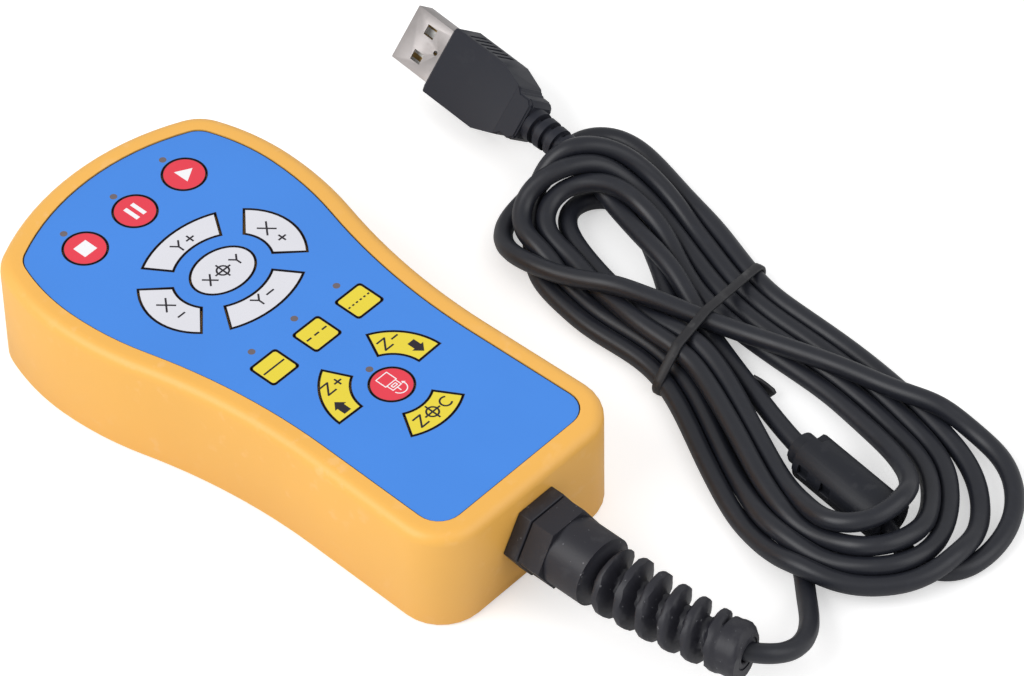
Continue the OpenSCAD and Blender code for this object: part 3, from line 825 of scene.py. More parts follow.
@dataclass
class Keypad(Assembly):
    """Printed overlay, its keys, legends, indicators and spacer.

    Attributes:
        line: Width of the legends' lines.
        fine: Width of the spindle key's lines.
        ink: Thickness of the print.
        edge: How far the painted gap shade reaches over keys and openings.
        rim: How far it runs down the sides of a key.
        overlay_rim: How far it runs down the sides of the overlay.
        root: How far the legends reach into the key.
        opening: Length of edge above which an opening of the overlay is a key's.
        letter: Height of the Y keys' letters.
        ring: Radius of the target's ring.
        reach: Half length of the target's cross.
    """

    line: float = 0.38
    fine: float = 0.22
    ink: float = 0.02
    edge: float = 0.12
    rim: float = 0.8
    overlay_rim: float = 0.5
    root: float = 0.01
    opening: float = 8
    letter: float = 2.75
    ring: float = 1.22
    reach: float = 2.0

    def legends(self) -> dict[Face, list[tuple[Any, ...]]]:
        """What the keys say.

        Returns:
            For each key, its marks with their places and sizes.
        """
        tall, target = self.letter + 0.15, (self.ring, self.reach)
        return {
            Face.STOP: [(Marks.bar, 0, 0, 3.25, 3.25)],
            Face.PAUSE: [(Marks.bar, x, 0, 0.92, 3.7) for x in (-0.93, 0.93)],
            Face.START: [(Marks.polygon, (-0.95, -1.85), (2.3, 0), (-0.95, 1.85))],
            Face.SPINDLE: [
                (Marks.frame, -1.3, 1.6, 0.35, 2.9),
                (Marks.frame, -0.95, 1.3, -1.25, 0.35),
                (Marks.frame, -0.4, 0.75, -0.75, -0.2),
                (Marks.stroke, (0.18, -1.25), (0.18, -2.3)),
                (Marks.arc, 0.45, -1.6, 1.5, 190, 375),
                (Marks.polygon, (1.55, -1.3), (2.35, -1.35), (1.8, -0.7))],
            Face.CENTRE: [(Marks.sign, "X", -3.45, 0, 2.1, 2.45),
                          (Marks.target, 0, 0, *target),
                          (Marks.sign, "Y", 3.75, 0, 2.1, 2.45)],
            Face.Y_PLUS: [(Marks.sign, "Y", -1.15, 0.1, 2.3, self.letter),
                          (Marks.sign, "+", 1.85, 0.1, 2, 2)],
            Face.Y_MINUS: [(Marks.sign, "Y", -1.05, -0.1, 2.3, self.letter),
                           (Marks.sign, "-", 1.95, -0.1, 2, 2)],
            Face.X_MINUS: [(Marks.sign, "X", 0.15, 1.6, 2.5, tall),
                           (Marks.sign, "-", 0.3, -2.35, 1.9, 2)],
            Face.X_PLUS: [(Marks.sign, "X", -0.25, 1.6, 2.5, tall),
                          (Marks.sign, "+", 0, -2.3, 2, 2)],
            Face.STEP_SOLID: [(Marks.stroke, (-2.75, 0.1), (2.75, 0.1))],
            Face.STEP_DASH: [(Marks.stroke, (x - 0.62, 0.1), (x + 0.62, 0.1))
                             for x in (-2.05, 0, 2.05)],
            Face.STEP_DOT: [(Marks.bar, 1.03 * (k - 2.5), 0.1, 0.5, self.line)
                            for k in range(6)],
            Face.Z_PLUS: [(Marks.sign, "Z", -0.186, 1.793, 2.15, 2.4),
                          (Marks.sign, "+", 2.384, 1.753, 1.85, 1.85),
                          (Marks.arrow, -1.816, -1.407, -3.057, -4.907, 1.47, 0.86)],
            Face.Z_MINUS: [(Marks.sign, "Z", -1.984, 1.793, 2.15, 2.4),
                           (Marks.sign, "-", 0.566, 1.753, 1.7, 1.7),
                           (Marks.arrow, 1.716, -4.907, -3.207, -1.357, 1.5, 0.86)],
            Face.Z_CENTRE: [(Marks.sign, "Z", -3.15, -0.181, 2.05, 2.45),
                            (Marks.target, 0.05, -0.181, *target),
                            (Marks.sign, "C", 3.65, -0.181, 2.3, 2.6)],
        }

    def legend(self, face: Face) -> tuple[Marks, Print]:
        """Draws what one key says.

        Args:
            face: The key.

        Returns:
            The marks and their ink.
        """
        low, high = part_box(f"key_{face.value}")
        middle = ((low.x + high.x) / 2 / MM, (low.y + high.y) / 2 / MM)
        marks = Marks(self.fine if face is Face.SPINDLE else self.line, middle)
        for draw, *sizes in self.legends()[face]:
            draw(marks, *sizes)
        white = face in (Face.STOP, Face.PAUSE, Face.START, Face.SPINDLE)
        return marks, Print.WHITE if white else Print.DARK

    def outline(self, node: str, plate: Object, deep: float,
                least: float = 0) -> None:
        """Paints shade as a dark edge round a plate and its openings, in the gaps.

        Args:
            node: CAD node of the plate.
            plate: The dressed plate.
            deep: How far the painted shade runs down the edge.
            least: Length of edge below which no shade is painted.
        """
        loops = [p for p in top_loops(plate.data)
                 if sum(math.dist(a, b) for a, b in zip(p, p[1:])) > least]
        name = f"{node.removeprefix('graphic_')}_edge"
        mesh = band(loops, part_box(node)[1].z / MM, self.edge, deep, name)
        # Painted shade: dark ink laid in the gap round the plate and its openings.
        self.add(mesh, BODY_OF[node], "spacer_black", name, Print.DARK.value)

    def build(self) -> None:
        """Dresses the keypad, prints its legends and paints shade in its gaps."""
        overlay = self.dress("graphic_overlay")
        self.dress("spacer_sheet")
        self.dress("light_pipes")
        # Painted shade round the overlay's edge and its key openings, then round each
        # key.
        self.outline("graphic_overlay", overlay, self.overlay_rim, self.opening)
        for face in Face:
            node = f"key_{face.value}"
            self.outline(node, self.dress(node), self.rim)
            marks, ink = self.legend(face)
            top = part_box(node)[1].z / MM
            mesh = marks.mesh(f"{node}_print", top - self.root, top + self.ink)
            slot = "spacer_black" if ink is Print.DARK else "plunger_white"
            self.add(mesh, BODY_OF[node], slot, f"{node}_print", ink.value)


@dataclass
class Circuit(Assembly):
    """Board, what is on it, and the plungers under the keys.

    Attributes:
        nodes: CAD nodes of the board and what is on it.
    """

    nodes: tuple[str, ...] = (
        "circuit_board", "board_components", "board_screws", "indicator_leds",
        "switch_bodies", "cable_header", "inner_leads")

    def build(self) -> None:
        """Dresses the board and the plungers."""
        for node in self.nodes:
            self.dress(node)
        for face in Face:
            self.dress(f"plunger_{face.value}")


@dataclass
class Gland(Assembly):
    """Hexagonal flange, cap with its spiral guard, and the inner parts.

    Attributes:
        crisp: Angle above which the cap's edges stay crisp.
        flange_crisp: Angle above which the flange's edges are broken.
        flange_edge: Radius of the flange's broken edges.
        mouth: Middle of the lip that closes the guard's mouth on the lead.
        mouth_turn: Turn of the mouth from -Y towards +X, in degrees.
        lip: Radius and reach of the corners of the lip's section.
    """

    crisp: float = 40
    flange_crisp: float = 30
    flange_edge: float = 0.25
    mouth: Point3 = (2.97, -110.1, 11.6)
    mouth_turn: float = 11.2
    lip: tuple[Point, ...] = ((3.5, -0.7), (3.5, 0.55), (2.8, 0.7), (2.3, 0.66),
                              (1.98, 0.4), (1.9, -0.7))

    def lip_ring(self) -> Mesh:
        """Makes the soft lip that grips the lead where it leaves the guard.

        Returns:
            A closed mesh in metres.
        """
        a = math.radians(self.mouth_turn)
        way = np.array([math.sin(a), -math.cos(a), 0])
        side = np.array([math.cos(a), math.sin(a), 0])
        outs = [side * math.cos(t) + np.array([0, 0, math.sin(t)]) for t in turns(40)]
        bm = bmesh.new()
        tube(bm, [[np.array(self.mouth) + out * r + way * h for r, h in self.lip]
                  for out in outs])
        return solid(bm, "guard_lip")

    def build(self) -> None:
        """Dresses the gland."""
        self.add(self.lip_ring(), BODY, "gland_black", "guard_lip")
        self.dress("gland_body", self.flange_crisp, self.flange_edge)
        self.dress("gland_cap", self.crisp)
        for node in ("gland_locknut", "gland_seal", "cord_entry"):
            self.dress(node)


@dataclass
class Bead(Assembly):
    """Clip-on ferrite case and its core.

    Attributes:
        crisp: Angle above which the case's edges are broken.
        edge: Radius of the case's broken edges.
    """

    crisp: float = 34
    edge: float = 0.45

    def build(self) -> list[Object]:
        """Dresses the bead.

        Returns:
            The pieces that sit on the lead.
        """
        return [self.dress("ferrite_case_lower", self.crisp, self.edge),
                self.dress("ferrite_case_upper", self.crisp, self.edge),
                self.dress("ferrite_core")]


@dataclass
class Strap(Assembly):
    """Flat band that ties the bundle, drawn snug round the strands.

    Attributes:
        centre: Where the band crosses the bundle.
        turn: Direction of the band from the X axis, in degrees.
        wide: Width of the band.
        thick: Thickness of the band.
        chamfer: Width of the chamfers along its edges.
        rib: Height of the ridge along its middle.
        room: Gap between the band and the strands.
        floor: Least height of the band above the surface.
        span: How far from the middle a strand may cross it.
        tail: Points of the cut end that shows beside the bundle.
        knob: How much wider the tail is at its last point but one.
    """

    centre: Point = (64.4, -46.1)
    turn: float = 9
    wide: float = 2.0
    thick: float = 0.75
    chamfer: float = 0.18
    rib: float = 0.08
    room: float = 0.03
    floor: float = 0.02
    span: float = 24
    tail: Run = ((61.3, -61.4, 3.5), (61.8, -62.9, 3.0), (62.2, -64.2, 2.3),
                 (62.35, -65.2, 1.6), (62.4, -65.9, 1.1))
    knob: float = 1.25

    def axes(self) -> tuple[np.ndarray, np.ndarray]:
        """Turns the band's direction into vectors.

        Returns:
            Unit vectors along the band and across it.
        """
        a = math.radians(self.turn)
        way = np.array([math.cos(a), math.sin(a), 0])
        return way, np.array([-way[1], way[0], 0])

    def crossings(self, line: np.ndarray) -> list[tuple[float, float]]:
        """Places where the strands pass through the band's plane.

        Args:
            line: Points of the lead.

        Returns:
            Distance along the band and height of each strand.
        """
        way, side = self.axes()
        rel = line[:, :2] - np.array(self.centre)
        along, off = rel @ way[:2], rel @ side[:2]
        found = []
        for k in range(len(line) - 1):
            if off[k] * off[k + 1] < 0 and abs(along[k]) < self.span:
                t = off[k] / (off[k] - off[k + 1])
                found.append((along[k] + t * (along[k + 1] - along[k]),
                              line[k, 2] + t * (line[k + 1, 2] - line[k, 2])))
        return found

    def wrap(self, spots: Sequence[tuple[float, float]], r: float) -> np.ndarray:
        """Shortest loop round circles of radius r at the spots.

        Args:
            spots: Centres of the strands.
            r: Radius of a strand.

        Returns:
            Points of the loop, anticlockwise.
        """
        cloud = sorted({(round(x + r * math.cos(t), 4), round(z + r * math.sin(t), 4))
                        for x, z in spots for t in turns(40)})
        return np.array([cloud[k] for k in convex_hull_2d(cloud)])

    def sweep(self, path: np.ndarray) -> Mesh:
        """Carries the band's section round a loop in its plane.

        Args:
            path: Points of the band's inner face, anticlockwise.

        Returns:
            A closed mesh in metres.
        """
        way, side = self.axes()
        ahead = np.roll(path, -1, 0) - np.roll(path, 1, 0)
        ahead = ahead / norms(ahead)[:, None]
        out = np.stack([ahead[:, 1], -ahead[:, 0]], 1)
        w, t, c = self.wide / 2, self.thick, self.chamfer
        section = ((-w + c, 0), (w - c, 0), (w, c), (w, t - c), (w - c, t),
                   (0, t + self.rib), (c - w, t), (-w, t - c), (-w, c))
        rings = []
        for q, n in zip(path, out):
            ring = []
            for across, up in section:
                x, z = q + n * (up + self.room)
                spot = np.array([*self.centre, 0]) + way * x + side * across
                spot[2] = max(z, self.floor * (1 + up))
                ring.append(spot)
            rings.append(ring)
        bm = bmesh.new()
        tube(bm, rings)
        return solid(bm, "cord_tie_skin")

    def stub(self) -> Mesh:
        """Makes the cut end of the band, which lies along the bundle's flank.

        Returns:
            A closed mesh in metres.
        """
        path = np.array(self.tail)
        ahead = np.gradient(path, axis=0)
        ahead /= norms(ahead)[:, None]
        out = np.cross(ahead, (0, 0, 1.0))
        out /= -norms(out)[:, None]
        rise = np.cross(out, ahead)
        section = ((-1, -0.8), (-0.7, -1), (0.7, -1), (1, -0.8), (1, 0.8), (0.7, 1),
                   (-0.7, 1), (-1, 0.8))
        rings = []
        for k, (q, n, up) in enumerate(zip(path, out, rise)):
            grow = self.knob if k == len(path) - 2 else 1.0
            w, t = self.wide / 2 * grow, self.thick / 2 * grow
            rings.append([q + up * (w * y) + n * (t * x) for x, y in section])
        bm = bmesh.new()
        tube(bm, rings, closed=False)
        return solid(bm, "cord_tie_end")

    def build(self, line: np.ndarray, r: float) -> list[Object]:
        """Draws the band snug round the strands.

        Args:
            line: Points of the lead.
            r: Radius of the lead.

        Returns:
            The pieces that sit on the lead.
        """
        spots = self.crossings(line)
        LOG.info("tie: round %d strands", len(spots))
        pieces = []
        for mesh in (self.sweep(self.wrap(spots, r)), self.stub()):
            pieces.append(self.add(mesh, BODY, "tie_black", mesh.name))
            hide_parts("cord_tie")
        return pieces


@dataclass
class Plug(Assembly):
    """Overmould, metal shell, tongue and contacts.

    Attributes:
        edge_crisp: Angle above which the overmould's edges are broken.
        edge: Radius of the overmould's broken edges.
        crisp: Angle above which the other edges stay crisp.
        shell_edge: Radius of the shell's broken edges.
        at: The relief's end in the row frame.
        head: Heading of the plug, in degrees.
        roll: Roll of the plug, in degrees.
        relief: Length of the strain relief.
        high: Half the height of the levelled tail.
        neck: Radius left inside the relief's grooves.
        groove: Start, pitch, width and outer radius of the grooves.
        side: Half outline of the tail, from the relief's end.
        corner: Radius of the tail's edges.
    """

    edge_crisp: float = 25
    edge: float = 0.4
    crisp: float = 34
    shell_edge: float = 0.2
    at: Point3 = (79.8, 2.5, 8.5)
    head: float = -5
    roll: float = -49
    relief: float = 11.0
    high: float = 3.97
    neck: float = 2.3
    groove: tuple[float, float, float, float] = (1.9, 3, 1.35, 5)
    side: tuple[Point, ...] = ((3.5, 0.1), (4.63, 1.25), (4.63, 3.6), (5.43, 4.4),
                               (5.9, 6))
    corner: float = 0.35

    def pose(self) -> Matrix:
        """Places the plug's own frame, with +Y to the tip, in the row frame."""
        return (Matrix.Translation(Vector(self.at))
                @ Matrix.Rotation(math.radians(self.head), 4, "Z")
                @ Matrix.Rotation(math.radians(self.roll), 4, "Y"))

    def grooves(self) -> Object:
        """Makes the rings that cut the strain relief all the way round.

        Returns:
            An object that cuts the overmould and is then removed.
        """
        first, pitch, wide, clear = self.groove
        bm = bmesh.new()
        for low in (first + pitch * k for k in range(3)):
            high = low + wide
            section = ((low, self.neck), (low, clear), (high, clear), (high, self.neck))
            tube(bm, [[(r * math.cos(t), y, r * math.sin(t)) for t in turns(48, 0.37)]
                      for y, r in section], smooth=False)
        return put("relief_grooves", solid(bm, "relief_grooves", self.pose()))

    def tail(self) -> Object:
        """Makes the block that brings the handle's tail up level.

        Returns:
            An object that is joined to the overmould and then removed.
        """
        right = [(x, self.relief + y) for x, y in self.side]
        plan = right + [(-x, y) for x, y in reversed(right)]
        bm = bmesh.new()
        base = bm.faces.new([bm.verts.new((x, y, -self.high)) for x, y in plan])
        grown = bmesh.ops.extrude_face_region(bm, geom=[base])["geom"]
        bmesh.ops.translate(bm, vec=(0, 0, 2 * self.high),
                            verts=[v for v in grown if isinstance(v, BMVert)])
        front = right[-1][1] - 1
        rims = [e for e in bm.edges if min(v.co.y for v in e.verts) < front]
        bmesh.ops.bevel(bm, geom=rims, offset=self.corner, segments=3, affect="EDGES",
                        clamp_overlap=True)
        return put("handle_tail", solid(bm, "handle_tail", self.pose()))

    def shape(self, piece: Object) -> None:
        """Cuts the relief's grooves full round and levels the tail.

        Args:
            piece: The dressed overmould, which gets a new mesh.
        """
        tools = {"UNION": self.tail(), "DIFFERENCE": self.grooves()}
        for kind, made in tools.items():
            step = piece.modifiers.new(made.name, "BOOLEAN")
            step.operation, step.object, step.solver = kind, made, "EXACT"
        seen = piece.evaluated_get(bpy.context.evaluated_depsgraph_get())
        mesh = bpy.data.meshes.new_from_object(seen)
        piece.modifiers.clear()
        bm = bmesh.new()
        bm.from_mesh(mesh)
        bmesh.ops.remove_doubles(bm, verts=bm.verts, dist=WELD)
        crease(bm, self.crisp)
        bm.to_mesh(mesh)
        loose = sum(len(e.link_faces) != 2 for e in bm.edges)
        bm.free()
        piece.data = mesh
        for made in tools.values():
            bpy.data.objects.remove(made)
        LOG.info("overmould: %d faces, %d open edges", len(mesh.polygons), loose)

    def build(self) -> list[Object]:
        """Dresses the plug.

        Returns:
            The pieces that sit on the lead.
        """
        body = self.dress("usb_overmould", self.edge_crisp, self.edge)
        self.shape(body)
        return [body, self.dress("usb_shell", self.crisp, self.shell_edge),
                self.dress("usb_tongue"), self.dress("usb_contacts")]


@dataclass(frozen=True)
class Route:
    """Points that the lead follows, in millimetres, from the gland to the plug.

    Attributes:
        out: Along the guard, then under the bundle.
        turn_1: First turn, up past the tie, round and back to the bead.
        turn_2: Second turn, round the first.
        turn_3: Third turn.
        turn_4: Fourth turn, which passes over the plug's relief.
        turn_5: Last turn, which comes back across the top of the others.
        to_plug: Through the bead and up to the plug.
    """

    out: Run = (
        (0.2, -84, 11.6), (1, -95, 11.6), (2.6, -107, 11.6), (4.1, -111.4, 11.4),
        (7.2, -114.2, 10.9), (11.6, -115.2, 9.8), (16.1, -114, 8.2), (20.4, -111, 6.5),
        (24.4, -107.2, 5), (29, -102.4, 3.2), (36, -94.3, 2), (39.8, -86.7, 2),
        (44.5, -75.7, 2), (50.8, -63.9, 2), (56.2, -54.8, 2.2))
    turn_1: Run = (
        (61, -45.6, 3.05), (67.9, -36.2, 2.2), (74, -25.9, 2), (79.5, -15.4, 2.1),
        (80.2, -7.8, 2.1), (75.7, -3.8, 3), (69.2, -6.9, 4.5), (64.6, -13.8, 4),
        (61.7, -23.9, 4), (58.7, -36.4, 6), (59.7, -47.7, 6.43), (56.1, -58.3, 6),
        (50.2, -71, 6), (44.7, -82.8, 6), (39.5, -93.4, 8), (38.6, -100, 11),
        (40.5, -104.7, 12.3), (44.8, -106.9, 12), (50.6, -107.1, 11),
        (56.3, -104.6, 9.5), (60.9, -100.2, 7.5), (63.8, -94.6, 6), (66.1, -85.8, 4.5),
        (69.5, -72.5, 3.4), (70, -59.6, 3))
    turn_2: Run = (
        (71.2, -44.4, 3.05), (75.6, -30.7, 4), (79, -19.5, 6), (79.3, -12.5, 8),
        (76.1, -5.5, 9.5), (70.5, -2.3, 8.5), (64.4, -4.8, 7), (59.9, -12.2, 5),
        (58.1, -24.3, 4.5), (56.8, -36.4, 6), (56.5, -47.2, 6.43), (52.8, -59.2, 6),
        (46.4, -71.9, 6), (40.1, -83.7, 6), (36, -96, 6.5), (37.2, -103.9, 8),
        (39.8, -109.8, 10), (46.6, -111.5, 9), (54.8, -109.8, 7), (61.8, -105.8, 5.5),
        (67.4, -99.4, 4), (70.7, -90.5, 3), (72.2, -75.5, 3.5), (73.5, -59.6, 3))
    turn_3: Run = (
        (75, -44, 3.05), (79.7, -30, 3), (83.4, -17.1, 5), (83.1, -9.1, 8),
        (78.7, -3.6, 11.5), (72.5, -0.5, 12), (65.8, 0, 10), (61.9, -1, 5),
        (58.5, -8.9, 3), (55.6, -21.5, 3), (55.2, -34.2, 3), (55.2, -45.1, 3.05),
        (50.8, -56.7, 2.5), (43.7, -69.3, 2.5), (36.8, -81.4, 4), (34.4, -89.9, 6),
        (33.1, -98.1, 6.5), (34.4, -104.7, 6.5), (37.2, -111.4, 7), (42.9, -115.6, 7.2),
        (52.3, -114.9, 6), (61, -110.8, 4.5), (67.3, -105, 4), (71.7, -97.1, 3),
        (76.6, -75.7, 2.5), (77.7, -59, 2.2))
    turn_4: Run = (
        (78.4, -43.5, 3.05), (83.9, -29.4, 2.3), (85.6, -21.9, 4), (86.7, -14.5, 7),
        (85.6, -8.6, 9.5), (82.6, -4, 11.8), (78.6, -0.7, 12.9), (75.3, 2.1, 11.5),
        (71.9, 3.7, 9), (61.8, -2.9, 3.2), (57.1, -12.4, 2), (53.7, -25, 2),
        (52.5, -34.5, 2.3), (51.8, -45.1, 3.05), (46.8, -57.3, 2.2), (40.2, -69.8, 2),
        (34.9, -81.5, 3), (30.9, -93, 5), (30.8, -100.5, 6), (32.2, -106.2, 6),
        (35.6, -112, 6), (40, -117.4, 6.2), (46.1, -120.6, 6.2), (53.4, -120.9, 5.5),
        (61.9, -117.5, 3.5), (68.6, -112, 2.5), (73, -105.9, 2.2), (75.8, -96.7, 2.2),
        (80, -75.5, 2.2), (80.6, -59, 2.2))
    turn_5: Run = (
        (81.6, -43.1, 3.05), (86.8, -29.3, 2), (92, -13.5, 2), (94, -3.1, 2),
        (93.1, 4.6, 2), (89.7, 7.8, 2), (84, 8, 2), (77.4, 5.9, 2), (68.9, 4.4, 2),
        (61.5, 3.5, 2.3), (56.4, -0.7, 4), (54.5, -7.6, 6), (54.7, -16.3, 7.5),
        (57.9, -27.7, 8), (61.6, -37.8, 8), (66.1, -48.2, 6.6), (69.8, -61.6, 7),
        (73.6, -75.1, 7), (76.1, -86.6, 6.5), (78.2, -96.5, 5), (79.9, -104.7, 2.3),
        (76.1, -113.3, 2), (69.8, -119.7, 2), (62.6, -122.5, 2), (55.4, -122, 2))
    to_plug: Run = (
        (50.7, -121.2, 2.1), (48, -118.3, 2.3), (47.1, -114.8, 2.9),
        (47.8, -111.3, 3.9), (48.75, -108.2, 4.8), (49.56, -105.8, 5.3),
        (50.3, -100, 5.3), (50.9, -94.9, 5.3), (51.8, -88, 5.3), (53.2, -80.6, 5.2),
        (57.6, -68, 4.2), (61.7, -57.3, 3.4), (66.6, -44.8, 3), (70.9, -32.1, 4.8),
        (75.4, -17.9, 6.4), (78.3, -8.8, 7.8), (79.4, -2.5, 8.4), (79.8, 2.5, 8.5),
        (79.98, 4.5, 8.5))


@dataclass
class Lead:
    """The lead from the gland to the plug, laid out and then settled.

    The route is pushed about for a set number of rounds to keep strands apart, keep
    every strand on or above the surface, and even out bends. Lengths are in
    millimetres.

    Attributes:
        route: Points that the lead is laid along.
        thick: Thickness of the lead.
        step: Distance between points of the settled line.
        slack: Gap that is kept between strands and above the surface.
        rounds: How often the line is pushed about.
        hold: How strongly it keeps to its route, at first and at the end.
        stiff: How strongly it evens out its curves.
        bend: Share by which a tight bend is eased at a time.
        least_bend: Radius below which a bend is eased.
        sink: How far gravity takes it down in a round.
        near: How far apart along the lead points can't meet, in thicknesses.
        push: Share of an overlap between strands that is undone at a time.
        clear: Share of an overlap with the bead or the relief.
        draw: Share of a stretch or squeeze along the lead.
        late: Share of the rounds after which the line barely keeps to its route.
        fixed: How many points stay as they are at the gland and at the plug.
        bead_axis: Ends of the ferrite bead's axis.
        bead_r: Radius of the bead.
        relief_axis: Ends of the plug relief's axis.
        relief_r: Radius of the relief.
        room: Gap that the strands keep from both.
        inner: How many of the last points run into the bead and the relief.
    """

    route: Route
    thick: float = 3.9
    step: float = 2.5
    slack: tuple[float, float] = (0.05, 0.02)
    rounds: int = 400
    hold: tuple[float, float] = (0.03, 0.004)
    stiff: float = 0.25
    bend: float = 0.2
    least_bend: float = 8.4
    sink: float = 0.01
    near: float = 3.2
    push: float = 0.3
    clear: float = 0.6
    draw: float = 0.45
    late: float = 0.75
    fixed: tuple[int, int] = (13, 3)
    bead_axis: tuple[Point3, Point3] = ((49.56, -105.8, 5.3), (52.24, -84, 5.3))
    bead_r: float = 5.0
    relief_axis: tuple[Point3, Point3] = ((79.8, 2.5, 8.5), (80.76, 13.5, 8.5))
    relief_r: float = 3.1
    room: float = 0.1
    inner: int = 62

    def smooth(self) -> np.ndarray:
        """Centripetal curve through the points, at even steps.

        Returns:
            Points a step apart, in millimetres.
        """
        runs = [getattr(self.route, run.name) for run in fields(self.route)]
        p = np.array([point for run in runs for point in run], float)
        ext = np.vstack([2 * p[0] - p[1], p, 2 * p[-1] - p[-2]])
        out: list[np.ndarray] = []
        for i in range(1, len(ext) - 2):
            a, b, c, d = ext[i - 1:i + 3]
            t = [0.0]
            for u, v in ((a, b), (b, c), (c, d)):
                t.append(t[-1] + max(float(np.linalg.norm(v - u)), 1e-6) ** 0.5)
            for x in np.linspace(t[1], t[2], 14, endpoint=False):
                e = self.mix(a, b, t[0], t[1], x)
                f = self.mix(b, c, t[1], t[2], x)
                g = self.mix(c, d, t[2], t[3], x)
                h = self.mix(e, f, t[0], t[2], x)
                k = self.mix(f, g, t[1], t[3], x)
                out.append(self.mix(h, k, t[1], t[2], x))
        out.append(ext[-2])
        line = np.array(out)
        run = np.concatenate([[0], np.cumsum(norms(np.diff(line, axis=0)))])
        stops = np.linspace(0, run[-1], int(round(run[-1] / self.step)) + 1)
        return np.stack([np.interp(stops, run, line[:, k]) for k in range(3)], 1)

    @staticmethod
    def mix(a: np.ndarray, b: np.ndarray, lo: float, hi: float, x: float) -> np.ndarray:
        """Point between a at lo and b at hi."""
        return (hi - x) / (hi - lo) * a + (x - lo) / (hi - lo) * b

    def obstacles(self) -> list[tuple[np.ndarray, float]]:
        """Balls along the bead and the relief that the strands go round.

        Returns:
            Middle and radius of each ball.
        """
        room = self.thick / 2 + self.room
        return [(np.array(a) + (np.array(b) - a) * t, r + room)
                for (a, b), r in ((self.bead_axis, self.bead_r),
                                  (self.relief_axis, self.relief_r))
                for t in np.linspace(0, 1, 12)]

    def even(self, p: np.ndarray, home: np.ndarray, free: np.ndarray) -> None:
        """Evens out curves, eases tight bends and lets the line sink.

        Args:
            p: Points of the line, which are moved.
            home: Pull of each point back to its route.
            free: 1 where a point may move, otherwise 0.
        """
        lap, lap2 = np.zeros_like(p), np.zeros_like(p)
        lap[1:-1] = (p[:-2] + p[2:]) / 2 - p[1:-1]
        lap2[1:-1] = (lap[:-2] + lap[2:]) / 2 - lap[1:-1]
        p += (home - self.stiff * lap2) * free
        bent = self.step ** 2 / (2 * self.least_bend)
        for _ in range(4):
            lap[1:-1] = (p[:-2] + p[2:]) / 2 - p[1:-1]
            far = norms(lap) + TINY
            ease = self.bend * np.maximum(0, 1 - bent / far)[:, None] * lap
            p += ease * free
            p[1:] -= 0.5 * ease[:-1] * free[1:]
            p[:-1] -= 0.5 * ease[1:] * free[:-1]
        p[:, 2] -= self.sink * free[:, 0]

    def part(self, p: np.ndarray, i: np.ndarray, j: np.ndarray,
             free: np.ndarray) -> None:
        """Pushes strands apart that lie in each other.

        Args:
            p: Points of the line, which are moved.
            i: First point of every pair that may meet.
            j: Second point of every pair.
            free: 1 where a point may move, otherwise 0.
        """
        gap = self.thick + self.slack[0]
        d = p[i] - p[j]
        far = norms(d) + TINY
        m = far < gap
        if m.any():
            push = (self.push * (gap - far[m]) / far[m])[:, None] * d[m]
            move, hits = np.zeros_like(p), np.zeros(len(p))
            for ends, way in ((i[m], 1), (j[m], -1)):
                np.add.at(move, ends, way * push)
                np.add.at(hits, ends, 1)
            p += move / np.maximum(hits, 1)[:, None] ** 0.5 * free

    def settle(self, line: np.ndarray) -> np.ndarray:
        """Pushes strands a diameter apart and evens out bends.

        Args:
            line: Points a step apart.

        Returns:
            The settled points.
        """
        p, n = line.copy(), len(line)
        free = np.ones((n, 1))
        free[:self.fixed[0]] = free[-self.fixed[1]:] = 0
        outer = np.arange(n) < n - self.inner
        balls = self.obstacles()
        lengths = norms(np.diff(p, axis=0))
        i, j = np.triu_indices(n, int(math.ceil(self.near * self.thick / self.step)))
        for lap in range(self.rounds):
            hold = self.hold[lap >= self.rounds * self.late]
            self.even(p, hold * (line - p), free)
            for _ in range(2):
                self.part(p, i, j, free)
                for spot, room in balls:
                    d = p - spot
                    far = norms(d) + TINY
                    m = (far < room) & outer
                    push = (self.clear * (room - far[m]) / far[m])[:, None] * d[m]
                    p[m] += push * free[m]
                d = np.diff(p, axis=0)
                far = norms(d)
                pull = (self.draw * (far - lengths) / far)[:, None] * d
                p[:-1] += pull * free[:-1]
                p[1:] -= pull * free[1:]
            p[:, 2] = np.maximum(p[:, 2], self.thick / 2 + self.slack[1])
        return p

    def settled(self) -> np.ndarray:
        line = self.smooth()
        return self.settle(line)

    def build(self, line: np.ndarray, on_lead: list[Object]) -> None:
        """Makes the lead as one open curve.

        Args:
            line: Points of the lead.
            on_lead: Pieces that sit on the lead; not used.
        """
        data = bpy.data.curves.new("lead", "CURVE")
        data.dimensions = "3D"
        data.bevel_depth = self.thick / 2 * MM
        data.bevel_resolution = 6
        data.resolution_u = 3
        spline = data.splines.new("NURBS")
        spline.points.add(len(line) - 1)
        spline.order_u = 4
        spline.use_endpoint_u = True
        for point, p in zip(spline.points, line):
            point.co = (*(p * MM), 1.0)
        data.use_fill_caps = True
        made = put("lead", data)
        data.materials.append(material("cable_black"))
        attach(made, BODY)
        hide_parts("cord_lead", "cord_hank", "cord_bead")
        length = float(norms(np.diff(line, axis=0)).sum())
        tuple(line[0] * MM)
        LOG.info("lead: %.0f mm, highest %.1f mm", length, line[:, 2].max())


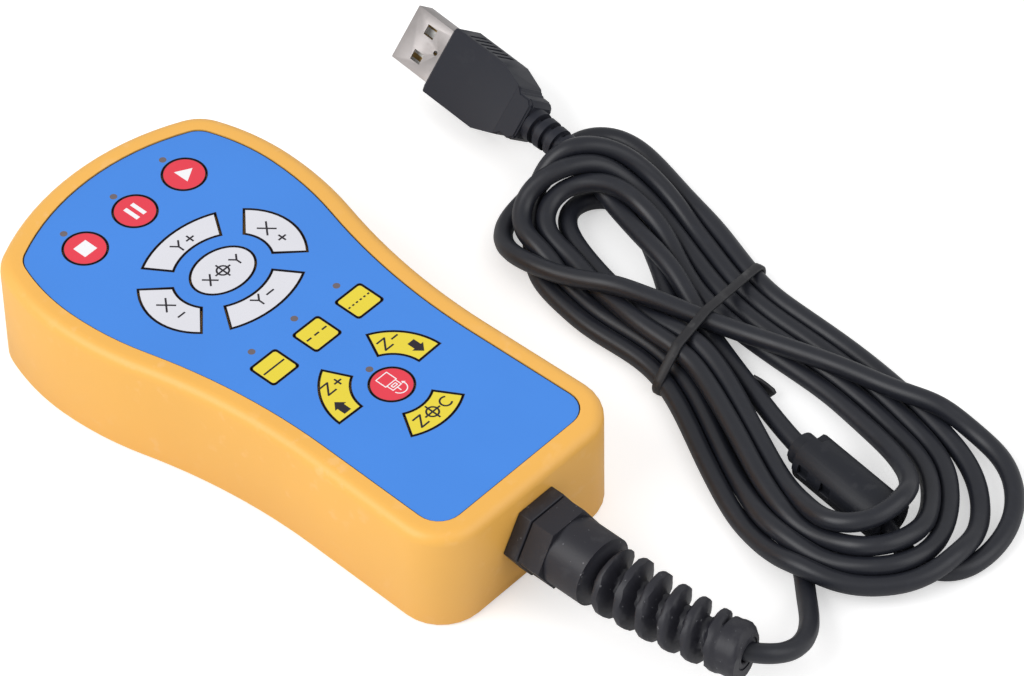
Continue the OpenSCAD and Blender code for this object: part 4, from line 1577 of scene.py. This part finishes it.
@dataclass
class Studio:
    """Pale floor, soft lights and the camera.

    Attributes:
        glow: How bright the floor is where only the camera sees it.
        surround: Strength of the even pale surround.
        aim: Where the lamps point, in metres.
        eye: Where the camera stands, in metres.
        right: Direction to the right in the view.
        ahead: Direction of the view.
        lens: Focal length in millimetres.
    """

    glow: float = 0.48
    surround: float = 0.54
    aim: Point3 = (0.03, -0.02, 0)
    eye: Point3 = (-0.5461, -0.5724, 0.8577)
    right: Point3 = (0.677, -0.736, -0.013)
    ahead: Point3 = (0.498, 0.471, -0.728)
    lens: float = 212.66

    def floor(self) -> None:
        """Lays the floor."""
        bpy.ops.mesh.primitive_plane_add(size=6, location=(0, 0, -0.0002))
        floor = bpy.context.object
        floor.name = "floor"
        s = Shader("floor")
        seen = s.node("ShaderNodeLightPath", {}, {}, "Is Camera Ray")
        speck = s.noise(90, 2)
        floor.data.materials.append(s.feed(
            Base_Color=s.blend(speck, (0.79, 0.79, 0.795, 1), (0.82, 0.82, 0.82, 1)),
            Emission_Color=s.blend(seen, (0, 0, 0, 1), (1, 1, 1, 1)),
            Emission_Strength=self.glow, Roughness=0.9, Specular_IOR_Level=0.1,
        ))

    def lamp(self, name: str, at: Point3, size: float, power: float) -> None:
        """Hangs one square soft box.

        Args:
            name: Name of the lamp.
            at: Where it hangs, in metres.
            size: Side of the square, in metres.
            power: Watts.
        """
        data = bpy.data.lights.new(name, "AREA")
        data.size = size
        data.energy = power
        lamp = put(name, data)
        lamp.location = at
        way = Vector(self.aim) - Vector(at)
        lamp.rotation_mode = "QUATERNION"
        lamp.rotation_quaternion = way.to_track_quat("-Z", "Y")

    def world(self) -> None:
        """Sets an even pale surround."""
        world = bpy.data.worlds.new("surround")
        world.use_nodes = True
        back = world.node_tree.nodes["Background"]
        back.inputs["Color"].default_value = (1, 1, 1, 1)
        back.inputs["Strength"].default_value = self.surround
        bpy.context.scene.world = world

    def camera(self) -> None:
        """Places the camera."""
        data = bpy.data.cameras.new("camera")
        data.lens = self.lens
        data.sensor_width = 36
        data.clip_start, data.clip_end = 0.05, 20
        right, ahead = Vector(self.right).normalized(), Vector(self.ahead).normalized()
        right = (right - ahead * right.dot(ahead)).normalized()
        turn = Matrix((right, right.cross(ahead), -ahead)).transposed()
        camera = put("camera", data)
        camera.matrix_world = Matrix.Translation(self.eye) @ turn.to_4x4()
        bpy.context.scene.camera = camera

    def build(self) -> None:
        """Builds the whole studio."""
        self.floor()
        self.lamp("key", (-0.86, 0.3, 0.8), 0.9, 9)
        self.lamp("fill", (0.4, -0.9, 0.7), 1.0, 4)
        self.world()
        self.camera()
        bpy.context.scene.view_settings.view_transform = "Standard"


def main() -> None:
    """Builds the scene piece by piece."""
    logging.basicConfig(level=logging.INFO, format="%(name)s: %(message)s")
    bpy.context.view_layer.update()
    Studio().build()
    for part in (Case(), Keypad(), Circuit(), Gland()):
        part.build()
    lead = Lead(Route())
    line = lead.settled()
    on_lead = Bead().build() + Plug().build() + Strap().build(line, lead.thick / 2)
    lead.build(line, on_lead)


if __name__ == "__main__":
    main()
